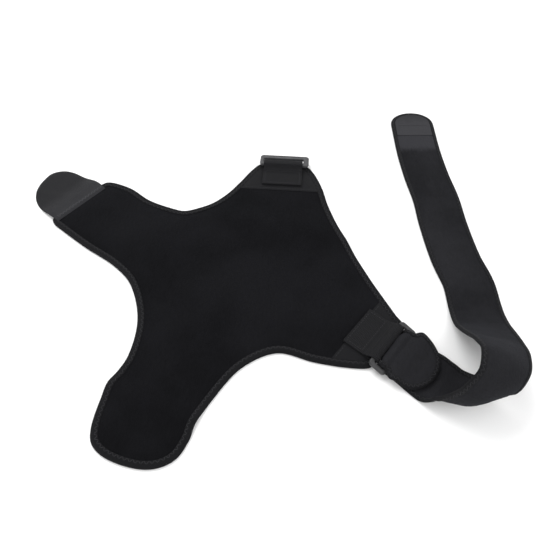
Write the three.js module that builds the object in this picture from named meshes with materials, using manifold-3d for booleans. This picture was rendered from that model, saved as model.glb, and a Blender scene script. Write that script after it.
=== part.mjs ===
import * as THREE from 'three';
import { mergeVertices } from 'three/addons/utils/BufferGeometryUtils.js';
import Module from 'manifold-3d';

// Shoulder brace, laid flat with its brushed inner face up, in millimetres, +Z up.
// +Y runs along the front lobe towards its loop, and the brace lies on z = 0.

// Driving dimensions: the panel
const PANEL_WIDTH = 402;
const PANEL_LENGTH = 390;
const PANEL_THICKNESS = 3.5;
const BINDING_WIDTH = 7.5;
const BINDING_WALL = 0.8;

// Driving dimensions: the sewn cloth pieces
const CLEARANCE = 0.3;
const PATCH_THICKNESS = 0.8;
const FRONT_PATCH_LENGTH = 45;
const BACK_PATCH_LENGTH = 36;
const ARM_TAB_LENGTH = 71.5;
const ARM_TAB_WIDTH = 74;
const ARM_TAB_THICKNESS = 1.6;
const ARM_TAB_OVERLAP = 9.5;
const STRAP_TAB_LENGTH = 46;
const STRAP_TAB_THICKNESS = 0.9;

// Driving dimensions: the webbing and the plastic loops
const WEBBING_WIDTH = 48;
const WEBBING_THICKNESS = 1.4;
const WEBBING_LENGTH = 38;
const LOOP_WIDTH = 61;
const LOOP_LENGTH = 20;
const LOOP_THICKNESS = 4.6;
const LOOP_BAR = 5;
const LOOP_CORNER_RADIUS = 4;
const LOOP_EDGE_ROUND = 1.3;
const FRONT_LOOP_SETBACK = 7;
const FRONT_LOOP_SHIFT = -1.2;
const FRONT_LOOP_TILT = 10;
const BACK_LOOP_SETBACK = 2.2;
const NEAR_BAR_HEIGHT = 10.2;
const BAR_CLEARANCE = 0.4;
const FLOOR_GAP = 0.2;

// Driving dimensions: the strap
const STRAP_WIDTH = 56.5;
const STRAP_THICKNESS = 3;
const STRAP_SPREAD = 320;
const STRAP_BINDING_WIDTH = 5;
const STRAP_BINDING_WALL = 0.7;
const STRAP_END_ROUND = 24;
const TONGUE_FADE = 5;
const RUN_FADE = 45;
const BACK_LOOP_OFFSET = -2.4;
const TONGUE_LENGTH = 42;
const TONGUE_LIFT = 1.5;

// Fineness of the faceted surfaces
const OUTLINE_STEPS = 2;
const FOLD_GRID = 17;
const TAB_GRID = 9;
const CLEAR_CUT = 5;
const SHORTEST_SIDE = 0.5;

// Panel outline, clockwise from the arm lobe: shares of PANEL_WIDTH and PANEL_LENGTH from the panel's middle
const OUTLINE = [
  { place: 'arm end top', x: -0.552, y: 0.306 },
  { place: 'arm corner', x: -0.534, y: 0.316 },
  { place: 'arm top side', x: -0.463, y: 0.296 },
  { place: 'arm top side', x: -0.395, y: 0.25 },
  { place: 'top crotch', x: -0.331, y: 0.225 },
  { place: 'top crotch', x: -0.277, y: 0.214 },
  { place: 'top crotch', x: -0.222, y: 0.237 },
  { place: 'front left side', x: -0.168, y: 0.29 },
  { place: 'front left side', x: -0.132, y: 0.346 },
  { place: 'front left corner', x: -0.099, y: 0.404 },
  { place: 'front end left', x: -0.073, y: 0.432 },
  { place: 'front end right', x: 0.067, y: 0.432 },
  { place: 'front right corner', x: 0.092, y: 0.404 },
  { place: 'front right side', x: 0.12, y: 0.341 },
  { place: 'right crotch', x: 0.14, y: 0.268 },
  { place: 'right crotch', x: 0.185, y: 0.152 },
  { place: 'back top side', x: 0.256, y: 0.006 },
  { place: 'back top side', x: 0.32, y: -0.108 },
  { place: 'back end top', x: 0.341, y: -0.147 },
  { place: 'back end bottom', x: 0.258, y: -0.266 },
  { place: 'back low corner', x: 0.247, y: -0.273 },
  { place: 'back low side', x: 0.196, y: -0.275 },
  { place: 'back low side', x: 0.115, y: -0.266 },
  { place: 'low crotch', x: 0.022, y: -0.247 },
  { place: 'cuff right side', x: -0.06, y: -0.294 },
  { place: 'cuff right side', x: -0.119, y: -0.381 },
  { place: 'cuff right crease', x: -0.151, y: -0.448 },
  { place: 'cuff right', x: -0.16, y: -0.486 },
  { place: 'cuff right corner', x: -0.181, y: -0.53 },
  { place: 'cuff end', x: -0.215, y: -0.554 },
  { place: 'cuff end', x: -0.262, y: -0.561 },
  { place: 'cuff left corner', x: -0.343, y: -0.541 },
  { place: 'cuff left', x: -0.38, y: -0.511 },
  { place: 'cuff left', x: -0.39, y: -0.474 },
  { place: 'cuff left side', x: -0.385, y: -0.398 },
  { place: 'cuff left crease', x: -0.377, y: -0.358 },
  { place: 'cuff left crease', x: -0.363, y: -0.328 },
  { place: 'left crotch', x: -0.346, y: -0.283 },
  { place: 'left crotch', x: -0.344, y: -0.175 },
  { place: 'left crotch', x: -0.388, y: -0.062 },
  { place: 'arm low side', x: -0.445, y: -0.005 },
  { place: 'arm low side', x: -0.538, y: 0.053 },
  { place: 'arm low corner', x: -0.627, y: 0.115 },
  { place: 'arm low corner', x: -0.654, y: 0.136 },
  { place: 'arm end low', x: -0.662, y: 0.157 },
];

// Packing folds: end points as shares of the panel's sizes, height and reach in millimetres
const FOLDS = [
  { name: 'cuff crease', x0: -0.4, y0: -0.352, x1: -0.13, y1: -0.452, height: 2.4, reach: 17 },
  { name: 'upper fold', x0: -0.24, y0: 0.215, x1: 0.19, y1: 0.14, height: 1.8, reach: 24 },
  { name: 'side fold', x0: 0.2, y0: 0.12, x1: 0.03, y1: -0.14, height: 1.6, reach: 22 },
];

// Arm tab outline: shares of ARM_TAB_LENGTH out from the seam and of ARM_TAB_WIDTH to its left
const ARM_TAB = [
  { place: 'seam right', out: 0, left: -0.46 },
  { place: 'right side', out: 0.21, left: -0.458 },
  { place: 'right side', out: 0.52, left: -0.401 },
  { place: 'right shoulder', out: 0.754, left: -0.347 },
  { place: 'right round', out: 0.906, left: -0.25 },
  { place: 'tip', out: 1, left: -0.092 },
  { place: 'tip', out: 0.976, left: 0.088 },
  { place: 'left round', out: 0.897, left: 0.264 },
  { place: 'left round', out: 0.772, left: 0.397 },
  { place: 'left side', out: 0.621, left: 0.474 },
  { place: 'left side', out: 0.42, left: 0.508 },
  { place: 'seam left', out: 0, left: 0.49 },
];

// Strap sections from the back loop: lengths as shares of STRAP_SPREAD, the bulge as a share of the width.
// low is the height of the lower edge, across turns the section in plan and rise tilts it.
const STRAP_SECTIONS = [
  { place: 'back loop', along: 0, side: 0, low: 0, across: 0, rise: 0, bulge: 0 },
  { place: 'lower run', along: 0.066, side: 0, low: 0, across: 0, rise: 0, bulge: 0 },
  { place: 'lower run', along: 0.13, side: 0, low: 0, across: -1, rise: 0, bulge: 0.01 },
  { place: 'roll start', along: 0.178, side: 0.001, low: 0.004, across: -8, rise: -16, bulge: 0.13 },
  { place: 'roll', along: 0.211, side: -0.001, low: 0.045, across: -16, rise: -24, bulge: 0.28 },
  { place: 'roll', along: 0.248, side: 0.003, low: 0.073, across: -37, rise: -36, bulge: 0.24 },
  { place: 'roll', along: 0.273, side: 0.024, low: 0.108, across: -60, rise: -37, bulge: 0.15 },
  { place: 'roll top', along: 0.263, side: 0.078, low: 0.139, across: -67, rise: -25, bulge: 0.1 },
  { place: 'roll back', along: 0.235, side: 0.126, low: 0.136, across: -63, rise: -13, bulge: 0.04 },
  { place: 'roll back', along: 0.206, side: 0.165, low: 0.107, across: -58, rise: -7, bulge: 0 },
  { place: 'descent', along: 0.179, side: 0.202, low: 0.073, across: -54, rise: -3, bulge: 0 },
  { place: 'descent', along: 0.151, side: 0.241, low: 0.038, across: -52, rise: 0, bulge: 0 },
  { place: 'landing', along: 0.118, side: 0.287, low: 0.01, across: -51, rise: 0, bulge: 0 },
  { place: 'landing', along: 0.08, side: 0.335, low: 0, across: -51, rise: 0, bulge: 0 },
  { place: 'free run', along: 0.038, side: 0.381, low: 0, across: -49, rise: 0, bulge: 0 },
  { place: 'free run', along: -0.043, side: 0.443, low: 0, across: -45, rise: 0, bulge: 0 },
  { place: 'free run', along: -0.162, side: 0.556, low: 0, across: -48, rise: 0, bulge: 0 },
  { place: 'free run', along: -0.242, side: 0.643, low: 0, across: -48, rise: 0, bulge: 0 },
  { place: 'free run', along: -0.337, side: 0.73, low: 0, across: -45, rise: 0, bulge: 0 },
  { place: 'free run', along: -0.432, side: 0.827, low: 0, across: -47, rise: 0, bulge: 0 },
  { place: 'free run', along: -0.525, side: 0.934, low: 0, across: -50, rise: 0, bulge: 0 },
  { place: 'free end', along: -0.586, side: 1.006, low: 0, across: -50, rise: 0, bulge: 0 },
];

const wasm = await Module();
wasm.setup();

// Finishes
const plush = new THREE.MeshStandardMaterial({ color: 0x1b1b1d, roughness: 0.95, metalness: 0 });
const tape = new THREE.MeshStandardMaterial({ color: 0x232326, roughness: 0.85, metalness: 0 });
const smoothCloth = new THREE.MeshStandardMaterial({ color: 0x2c2c31, roughness: 0.6, metalness: 0 });
const ribbed = new THREE.MeshStandardMaterial({ color: 0x212124, roughness: 0.8, metalness: 0 });
const plastic = new THREE.MeshStandardMaterial({ color: 0x3a3a3e, roughness: 0.45, metalness: 0 });

// A merged closed geometry as a solid that can be joined and cut
function toSolid(geometry) {
  const bare = new THREE.BufferGeometry();
  bare.setAttribute('position', geometry.getAttribute('position').clone());
  if (geometry.index) {
    bare.setIndex(geometry.index.clone());
  }
  const merged = mergeVertices(bare, 1e-4);
  const mesh = new wasm.Mesh({
    numProp: 3,
    vertProperties: new Float32Array(merged.getAttribute('position').array),
    triVerts: new Uint32Array(merged.index.array),
  });
  return new wasm.Manifold(mesh);
}

// The solid's faces as a geometry again
function toGeometry(solid) {
  const mesh = solid.getMesh();
  const geometry = new THREE.BufferGeometry();
  geometry.setAttribute('position', new THREE.BufferAttribute(new Float32Array(mesh.vertProperties), 3));
  geometry.setIndex(new THREE.BufferAttribute(new Uint32Array(mesh.triVerts), 1));
  geometry.computeVertexNormals();
  return geometry;
}

function namedMesh(name, geometry, material) {
  const mesh = new THREE.Mesh(geometry, material);
  mesh.name = name;
  return mesh;
}

function radians(degrees) {
  return THREE.MathUtils.degToRad(degrees);
}

// Distance from a point to a closed outline
function outlineDistance(point, outline) {
  let nearest = Infinity;
  outline.forEach((start, index) => {
    const end = outline[(index + 1) % outline.length];
    const side = new THREE.Vector2().subVectors(end, start);
    const share = THREE.MathUtils.clamp(
      new THREE.Vector2().subVectors(point, start).dot(side) / side.lengthSq(), 0, 1);
    const foot = start.clone().addScaledVector(side, share);
    nearest = Math.min(nearest, foot.distanceTo(point));
  });
  return nearest;
}

// The clockwise outline moved inwards, without the points that tight corners push too near the edge
function insetOutline(outline, distance) {
  const count = outline.length;
  const moved = outline.map((point, index) => {
    const arriving = new THREE.Vector2().subVectors(point, outline[(index + count - 1) % count]).normalize();
    const leaving = new THREE.Vector2().subVectors(outline[(index + 1) % count], point).normalize();
    const along = arriving.clone().add(leaving).normalize();
    const reach = distance / along.dot(leaving);
    return new THREE.Vector2(point.x + along.y * reach, point.y - along.x * reach);
  });
  const inside = moved.filter((point) => outlineDistance(point, outline) > 0.999 * distance);
  return inside.filter((point, index) => {
    const before = inside[(index + inside.length - 1) % inside.length];
    return point.distanceTo(before) > SHORTEST_SIDE;
  });
}

// Height that the packing folds lift the panel by at one place
function foldLift(x, y) {
  let lift = 0;
  for (const fold of FOLDS) {
    const start = new THREE.Vector2(fold.x0 * PANEL_WIDTH, fold.y0 * PANEL_LENGTH);
    const end = new THREE.Vector2(fold.x1 * PANEL_WIDTH, fold.y1 * PANEL_LENGTH);
    const line = new THREE.Vector2().subVectors(end, start);
    const place = new THREE.Vector2(x, y).sub(start);
    const share = THREE.MathUtils.clamp(place.dot(line) / line.lengthSq(), 0, 1);
    const away = place.distanceTo(line.multiplyScalar(share)) / fold.reach;
    if (away < 1) {
      lift += fold.height * 0.5 * (1 + Math.cos(Math.PI * away));
    }
  }
  return lift;
}

// A flat slab with the lift added, cut to an outline: low and high are heights above the underside
function liftedSheet(outline, low, high, lift, grid) {
  const bounds = new THREE.Box2().setFromPoints(outline).expandByScalar(grid);
  const size = bounds.getSize(new THREE.Vector2());
  const middle = bounds.getCenter(new THREE.Vector2());
  const columns = Math.ceil(size.x / grid);
  const rows = Math.ceil(size.y / grid);
  const slab = new THREE.BoxGeometry(columns * grid, rows * grid, high - low, columns, rows, 1);
  slab.translate(Math.round(middle.x / grid) * grid, Math.round(middle.y / grid) * grid, (low + high) / 2);
  const position = slab.getAttribute('position');
  for (let index = 0; index < position.count; index += 1) {
    const raised = position.getZ(index) + lift(position.getX(index), position.getY(index));
    position.setZ(index, raised);
  }
  const depth = PANEL_THICKNESS + 8 * CLEAR_CUT;
  const cutter = new THREE.ExtrudeGeometry(new THREE.Shape(outline), { depth, bevelEnabled: false });
  cutter.translate(0, 0, -2 * CLEAR_CUT);
  return toSolid(slab).intersect(toSolid(cutter));
}

// Panel outline as a smooth closed curve through the table's places
const outlineKnots = OUTLINE.map((row) => new THREE.Vector3(row.x * PANEL_WIDTH, row.y * PANEL_LENGTH, 0));
const outlineCurve = new THREE.CatmullRomCurve3(outlineKnots, true, 'centripetal');
const panelOutline = outlineCurve.getPoints(OUTLINE.length * OUTLINE_STEPS).slice(0, -1)
  .map((point) => new THREE.Vector2(point.x, point.y));

function outlinePlace(name) {
  const row = OUTLINE.find((item) => item.place === name);
  return new THREE.Vector2(row.x * PANEL_WIDTH, row.y * PANEL_LENGTH);
}

// The middle of a lobe's straight end and the angle that the lobe points at
function lobeEnd(firstPlace, secondPlace) {
  const first = outlinePlace(firstPlace);
  const second = outlinePlace(secondPlace);
  const side = new THREE.Vector2().subVectors(second, first);
  return {
    middle: first.clone().add(second).multiplyScalar(0.5),
    heading: Math.atan2(side.x, -side.y),
    width: side.length(),
  };
}

// A group whose +X points out of a lobe's end, with its origin on the floor below the end's middle
function lobeFrame(end) {
  const group = new THREE.Group();
  group.position.set(end.middle.x, end.middle.y, 0);
  group.rotation.z = end.heading;
  return group;
}

// Radius that clears a loop's bar all round
const barRadius = LOOP_EDGE_ROUND
  + Math.hypot(LOOP_BAR / 2 - LOOP_EDGE_ROUND, LOOP_THICKNESS / 2 - LOOP_EDGE_ROUND);

const armEnd = lobeEnd('arm end low', 'arm end top');
const frontEnd = lobeEnd('front end left', 'front end right');
const backEnd = lobeEnd('back end top', 'back end bottom');

// Main panel: full thickness inside the binding, a thinner rim between the binding's legs
function shoulderPanel() {
  const body = insetOutline(panelOutline, BINDING_WIDTH + CLEARANCE);
  const rim = insetOutline(panelOutline, BINDING_WALL + CLEARANCE);
  const rimLow = BINDING_WALL + CLEARANCE;
  const rimHigh = PANEL_THICKNESS - BINDING_WALL - CLEARANCE;
  const bodySolid = liftedSheet(body, 0, PANEL_THICKNESS, foldLift, FOLD_GRID);
  const rimSolid = liftedSheet(rim, rimLow, rimHigh, foldLift, FOLD_GRID);
  return namedMesh('shoulder_panel', toGeometry(bodySolid.add(rimSolid)), plush);
}

// Binding tape: a channel round the panel's edge
function panelBinding() {
  const window = insetOutline(panelOutline, BINDING_WIDTH);
  const channel = insetOutline(panelOutline, BINDING_WALL);
  const outside = liftedSheet(panelOutline, 0, PANEL_THICKNESS, foldLift, FOLD_GRID);
  const opening = liftedSheet(window, -CLEAR_CUT, PANEL_THICKNESS + CLEAR_CUT, foldLift, FOLD_GRID);
  const inside = liftedSheet(channel, BINDING_WALL, PANEL_THICKNESS - BINDING_WALL, foldLift, FOLD_GRID);
  const solid = outside.subtract(opening).subtract(inside);
  return namedMesh('panel_binding', toGeometry(solid), tape);
}

// Reinforcement cloth over the last stretch of a lobe, inside the binding
function lobePatch(name, end, length) {
  const low = PANEL_THICKNESS + CLEARANCE;
  const area = insetOutline(panelOutline, BINDING_WIDTH + CLEARANCE);
  const noLift = () => 0;
  const cloth = liftedSheet(area, low, low + PATCH_THICKNESS, noLift, FOLD_GRID);
  const reach = PANEL_WIDTH;
  const keep = new THREE.BoxGeometry(length, reach, 4 * CLEAR_CUT);
  keep.rotateZ(end.heading);
  keep.translate(
    end.middle.x - (length / 2) * Math.cos(end.heading),
    end.middle.y - (length / 2) * Math.sin(end.heading), low);
  return namedMesh(name, toGeometry(cloth.intersect(toSolid(keep))), smoothCloth);
}

// Height of the arm tab's underside: on the panel at the seam, down to the floor past the lobe's end
function armTabLift(x) {
  const top = PANEL_THICKNESS + CLEARANCE;
  const free = ARM_TAB_LENGTH - ARM_TAB_OVERLAP;
  const fall = THREE.MathUtils.smootherstep(x, 2, 0.5 * free);
  return top * (1 - fall);
}

// Hook tab sewn on the arm lobe, in the lobe's own frame
function armTab() {
  const knots = ARM_TAB.map((row) => new THREE.Vector3(
    row.out * ARM_TAB_LENGTH - ARM_TAB_OVERLAP, row.left * ARM_TAB_WIDTH, 0));
  const curve = new THREE.CatmullRomCurve3(knots, false, 'centripetal');
  const outline = curve.getPoints(3 * ARM_TAB.length).map((point) => new THREE.Vector2(point.x, point.y));
  const solid = liftedSheet(outline, 0, ARM_TAB_THICKNESS, armTabLift, TAB_GRID);
  const group = lobeFrame(armEnd);
  group.add(namedMesh('arm_tab', toGeometry(solid), smoothCloth));
  return group;
}

// Outline of the drop-shaped gap between the tape's plies, widened by a distance: a tail point and an arc
function dropPoints(radius, tail, steps) {
  const reach = Math.hypot(tail.x, tail.y);
  const tailAngle = Math.atan2(tail.y, tail.x);
  const spread = Math.acos(Math.min(1, radius / reach));
  const points = [tail.clone()];
  for (let step = 0; step <= steps; step += 1) {
    const angle = tailAngle + spread + (step / steps) * (2 * Math.PI - 2 * spread);
    points.push(new THREE.Vector2(radius * Math.cos(angle), radius * Math.sin(angle)));
  }
  return points;
}

// Folded webbing: two sewn plies on the patch that part round the loop's bar, in the lobe's own frame
function foldedWebbing(name, setback) {
  const low = PANEL_THICKNESS + PATCH_THICKNESS + 2 * CLEARANCE;
  const high = low + 2 * WEBBING_THICKNESS;
  const seam = (low + high) / 2 - NEAR_BAR_HEIGHT;
  const inner = barRadius + BAR_CLEARANCE;
  const outer = inner + WEBBING_THICKNESS;
  const start = setback - WEBBING_LENGTH;
  const tail = new THREE.Vector2(-2.4 * outer, seam);
  const outerDrop = dropPoints(outer, tail, 14);
  const outerShape = new THREE.Shape(outerDrop);
  outerShape.holes.push(new THREE.Path(dropPoints(inner, tail.clone().multiplyScalar(0.82), 12)));
  const length = WEBBING_WIDTH;
  const eye = new THREE.ExtrudeGeometry(outerShape, { depth: length, bevelEnabled: false });
  const plyEnd = tail.x + outer;
  const strip = new THREE.BoxGeometry(plyEnd - start, high - low, length);
  strip.translate((plyEnd + start) / 2, seam, length / 2);
  const gapShape = new THREE.Shape(dropPoints(inner, tail.clone().multiplyScalar(0.82), 12));
  const gap = new THREE.ExtrudeGeometry(gapShape, { depth: length + 2 * CLEAR_CUT, bevelEnabled: false });
  gap.translate(0, 0, -CLEAR_CUT);
  const solid = toSolid(eye).add(toSolid(strip)).subtract(toSolid(gap));
  const geometry = toGeometry(solid);
  geometry.rotateX(Math.PI / 2);
  geometry.translate(-setback, length / 2, NEAR_BAR_HEIGHT);
  return namedMesh(name, geometry, ribbed);
}

// Rectangular plastic loop: its near bar lies on the local Y axis and the far bar is towards +X
function plasticLoop(name) {
  const edge = LOOP_EDGE_ROUND;
  const halfWidth = LOOP_WIDTH / 2;
  const back = -LOOP_BAR / 2;
  const front = LOOP_LENGTH - LOOP_BAR / 2;
  const outside = roundedRectangle(back + edge, front - edge, halfWidth - edge, LOOP_CORNER_RADIUS - edge);
  const slot = roundedRectangle(
    LOOP_BAR / 2 - edge, front - LOOP_BAR + edge, halfWidth - LOOP_BAR + edge, 1 + edge);
  const shape = new THREE.Shape(outside);
  shape.holes.push(new THREE.Path(slot));
  const geometry = new THREE.ExtrudeGeometry(shape, {
    depth: LOOP_THICKNESS - 2 * edge,
    bevelEnabled: true,
    bevelThickness: edge,
    bevelSize: edge,
    bevelSegments: 2,
  });
  geometry.translate(0, 0, edge - LOOP_THICKNESS / 2);
  return namedMesh(name, toGeometry(toSolid(geometry)), plastic);
}

// Corner points of a rectangle with round corners, counter-clockwise
function roundedRectangle(left, right, halfHeight, radius) {
  const corners = [
    { x: right - radius, y: halfHeight - radius, from: 0 },
    { x: left + radius, y: halfHeight - radius, from: 90 },
    { x: left + radius, y: radius - halfHeight, from: 180 },
    { x: right - radius, y: radius - halfHeight, from: 270 },
  ];
  const points = [];
  const steps = 4;
  for (const corner of corners) {
    for (let step = 0; step <= steps; step += 1) {
      const angle = radians(corner.from + (90 * step) / steps);
      points.push(new THREE.Vector2(corner.x + radius * Math.cos(angle), corner.y + radius * Math.sin(angle)));
    }
  }
  return points;
}

// Height and place of the back loop's far bar, which lies on the strap's lower run
const barPitch = LOOP_LENGTH - LOOP_BAR;
const wrapRadius = barRadius + BAR_CLEARANCE + STRAP_THICKNESS / 2;
const farBarHeight = STRAP_THICKNESS / 2 + wrapRadius;
const strappedTilt = Math.asin((NEAR_BAR_HEIGHT - farBarHeight) / barPitch);
const farBarReach = barPitch * Math.cos(strappedTilt) - BACK_LOOP_SETBACK;

// The webbing and its loop on one lobe, from the bar's place, the loop's tilt and how far the two sit to the left
function loopSet(end, side, setback, tilt, webbingLeft, loopLeft) {
  const group = lobeFrame(end);
  const webbing = foldedWebbing(`${side}_webbing`, setback);
  webbing.position.y = webbingLeft;
  const loop = plasticLoop(`${side}_loop`);
  loop.position.set(-setback, loopLeft, NEAR_BAR_HEIGHT);
  loop.rotation.y = tilt;
  group.add(webbing, loop);
  return group;
}

// Centre line of the strap with the direction of each section across it, from the tongue's end to the free end
function strapPath() {
  const path = [];
  const across = new THREE.Vector3(0, 1, 0);
  const tongueHeight = 1.5 * STRAP_THICKNESS + CLEARANCE + TONGUE_LIFT;
  const wrapTop = farBarHeight + wrapRadius;
  const tongueSteps = 16;
  for (let step = 0; step < tongueSteps; step += 1) {
    const along = TONGUE_LENGTH * (1 - step / tongueSteps);
    const climb = 1 - THREE.MathUtils.smootherstep(along, 0, 0.75 * TONGUE_LENGTH);
    const height = tongueHeight + (wrapTop - tongueHeight) * climb;
    path.push({ centre: new THREE.Vector3(along, 0, height), across, bulge: 0 });
  }
  const wrapSteps = 8;
  for (let step = 0; step < wrapSteps; step += 1) {
    const angle = Math.PI / 2 + (Math.PI * step) / wrapSteps;
    const centre = new THREE.Vector3(wrapRadius * Math.cos(angle), 0, farBarHeight + wrapRadius * Math.sin(angle));
    path.push({ centre, across, bulge: 0 });
  }
  const rows = STRAP_SECTIONS.map((row) => {
    const turn = radians(90 + row.across);
    const rise = radians(row.rise);
    const direction = new THREE.Vector3(
      Math.cos(rise) * Math.cos(turn), Math.cos(rise) * Math.sin(turn), Math.sin(rise));
    const lower = row.low * STRAP_SPREAD + STRAP_THICKNESS / 2;
    const height = lower + (STRAP_WIDTH / 2) * Math.abs(Math.sin(rise)) * chordShare(row.bulge);
    const centre = new THREE.Vector3(row.along * STRAP_SPREAD, row.side * STRAP_SPREAD, height);
    return { centre, direction, bulge: row.bulge };
  });
  const centres = new THREE.CatmullRomCurve3(rows.map((row) => row.centre), false, 'centripetal');
  const tips = new THREE.CatmullRomCurve3(
    rows.map((row) => row.centre.clone().add(row.direction)), false, 'centripetal');
  const bulges = new THREE.CatmullRomCurve3(
    rows.map((row, index) => new THREE.Vector3(index, row.bulge, 0)), false, 'centripetal');
  const steps = 12 * (rows.length - 1);
  for (let step = 0; step <= steps; step += 1) {
    const centre = centres.getPoint(step / steps);
    const direction = tips.getPoint(step / steps).sub(centre).normalize();
    const bulge = Math.max(0, bulges.getPoint(step / steps).y);
    centre.setZ(Math.max(centre.z, restingHeight(direction, bulge)));
    path.push({ centre, across: direction, bulge });
  }
  return path;
}

// Least height of a section's middle that keeps its lower edge and its bulge off the floor
function restingHeight(direction, bulge) {
  const edge = (STRAP_WIDTH / 2) * chordShare(bulge) * Math.abs(direction.z);
  const belly = STRAP_WIDTH * bulge * Math.hypot(direction.x, direction.y);
  return STRAP_THICKNESS / 2 + Math.max(edge, belly);
}

// A bulging section keeps its length round the arc, so its chord is shorter
function chordShare(bulge) {
  return 1 - (8 / 3) * bulge * bulge;
}

// Distances of the path's frames from the tongue's end
function measurePath(frames) {
  const distances = [0];
  frames.slice(1).forEach((frame, index) => {
    distances.push(distances[index] + frame.centre.distanceTo(frames[index].centre));
  });
  return distances;
}

const strapFrames = strapPath();
let strapDistance = measurePath(strapFrames);
let strapLength = strapDistance[strapDistance.length - 1];

// The strap's frame at a distance from the tongue's end
function strapFrame(distance) {
  let index = strapDistance.findIndex((value) => value >= distance);
  index = THREE.MathUtils.clamp(index < 0 ? strapDistance.length - 1 : index, 1, strapDistance.length - 1);
  const before = strapFrames[index - 1];
  const after = strapFrames[index];
  const share = (distance - strapDistance[index - 1]) / (strapDistance[index] - strapDistance[index - 1]);
  const centre = before.centre.clone().lerp(after.centre, share);
  const first = strapFrames[Math.max(0, index - 2)].centre;
  const last = strapFrames[Math.min(strapFrames.length - 1, index + 1)].centre;
  const tangent = new THREE.Vector3().subVectors(last, first).normalize();
  const across = before.across.clone().lerp(after.across, share);
  across.addScaledVector(tangent, -across.dot(tangent)).normalize();
  const normal = new THREE.Vector3().crossVectors(tangent, across);
  const bulge = THREE.MathUtils.lerp(before.bulge, after.bulge, share);
  return { centre, across, normal, bulge };
}

// A point of the strap: side runs across it from its middle, height from its middle layer
function strapPoint(frame, side, height) {
  const share = side / STRAP_WIDTH;
  const chord = chordShare(frame.bulge);
  const sag = frame.bulge * STRAP_WIDTH * (1 - 4 * share * share);
  const slope = (8 * share * frame.bulge) / chord;
  const normal = frame.normal.clone().addScaledVector(frame.across, -slope).normalize();
  return frame.centre.clone()
    .addScaledVector(frame.across, side * chord)
    .addScaledVector(frame.normal, -sag)
    .addScaledVector(normal, height);
}

// How far each edge of the strap is squeezed in where it passes through the loop's slot
function slotPinch(distance) {
  const squeeze = (STRAP_WIDTH - LOOP_WIDTH) / 2 + LOOP_BAR + BAR_CLEARANCE;
  const halfWrap = (Math.PI * wrapRadius) / 2;
  const past = distance - TONGUE_LENGTH - halfWrap;
  const fade = past < 0 ? TONGUE_FADE : RUN_FADE;
  return squeeze * (1 - THREE.MathUtils.smootherstep(Math.abs(past) - halfWrap, 0, fade));
}

// Raise each part of the path whose section still dips towards the floor
function restOnFloor() {
  strapFrames.forEach((pathFrame, index) => {
    const frame = strapFrame(strapDistance[index]);
    const edges = [-STRAP_WIDTH / 2, 0, STRAP_WIDTH / 2];
    const faces = [-STRAP_THICKNESS / 2, STRAP_THICKNESS / 2];
    const heights = edges.flatMap((side) => faces.map((height) => strapPoint(frame, side, height).z));
    pathFrame.centre.z += Math.max(0, FLOOR_GAP - Math.min(...heights));
  });
  strapDistance = measurePath(strapFrames);
  strapLength = strapDistance[strapDistance.length - 1];
}
restOnFloor();
restOnFloor();

// Half the strap's width at a distance, for its outline moved inwards: both ends are rounded
function strapHalfWidth(distance, inset) {
  const fromEnd = Math.min(distance, strapLength - distance) - inset;
  const round = STRAP_END_ROUND - inset;
  const share = THREE.MathUtils.clamp(1 - fromEnd / round, 0, 1);
  return (STRAP_WIDTH / 2 - inset - slotPinch(distance)) * Math.sqrt(1 - share ** 2.2);
}

// Distances at which the strap gets a section: close at the ends, at the wrap and in the roll
function strapStations(inset, first, last) {
  const stations = [];
  const round = STRAP_END_ROUND - inset;
  const endShares = [0.004, 0.06, 0.18, 0.36, 0.62, 1];
  const wrapStart = TONGUE_LENGTH;
  const wrapEnd = wrapStart + Math.PI * wrapRadius;
  const rollStart = wrapEnd + 0.12 * STRAP_SPREAD;
  const rollEnd = rollStart + 0.72 * STRAP_SPREAD;
  const marks = [
    { from: inset + round, to: wrapStart - 4, step: 8 },
    { from: wrapStart - 4, to: wrapEnd + 3, step: 2.6 },
    { from: wrapEnd + 3, to: rollStart, step: 20 },
    { from: rollStart, to: rollEnd, step: 10 },
    { from: rollEnd, to: strapLength - inset - round, step: 32 },
  ];
  endShares.forEach((share) => stations.push(inset + share * round));
  for (const mark of marks) {
    const count = Math.max(1, Math.round((mark.to - mark.from) / mark.step));
    for (let step = 1; step <= count; step += 1) {
      stations.push(mark.from + ((mark.to - mark.from) * step) / count);
    }
  }
  endShares.slice(0, -1).reverse().forEach((share) => stations.push(strapLength - inset - share * round));
  return stations.filter((distance) => distance >= first && distance <= last);
}

// One layer of the strap as a closed solid between two heights
function strapLayer(inset, low, high, first = 0, last = strapLength) {
  const shares = [-0.26, 0, 0.26];
  const vertices = [];
  const triangles = [];
  const stations = strapStations(inset, first, last);
  const sides = shares.length + 2;
  const ring = 2 * sides;
  stations.forEach((distance) => {
    const frame = strapFrame(distance);
    const half = strapHalfWidth(distance, inset);
    const inner = Math.min(1, (0.9 * half) / (0.26 * STRAP_WIDTH));
    const places = [-half, ...shares.map((share) => share * inner * STRAP_WIDTH), half];
    places.forEach((side) => vertices.push(...strapPoint(frame, side, high).toArray()));
    places.slice().reverse().forEach((side) => vertices.push(...strapPoint(frame, side, low).toArray()));
  });
  for (let station = 0; station < stations.length - 1; station += 1) {
    for (let corner = 0; corner < ring; corner += 1) {
      const a = station * ring + corner;
      const b = station * ring + ((corner + 1) % ring);
      triangles.push(a, a + ring, b, b, a + ring, b + ring);
    }
  }
  const lastRing = (stations.length - 1) * ring;
  for (let side = 0; side < sides - 1; side += 1) {
    const top = side;
    const under = ring - 1 - side;
    triangles.push(top, top + 1, under, under, top + 1, under - 1);
    triangles.push(lastRing + top, lastRing + under, lastRing + top + 1);
    triangles.push(lastRing + under, lastRing + under - 1, lastRing + top + 1);
  }
  const geometry = new THREE.BufferGeometry();
  geometry.setAttribute('position', new THREE.Float32BufferAttribute(vertices, 3));
  geometry.setIndex(triangles);
  return toSolid(geometry);
}

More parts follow.
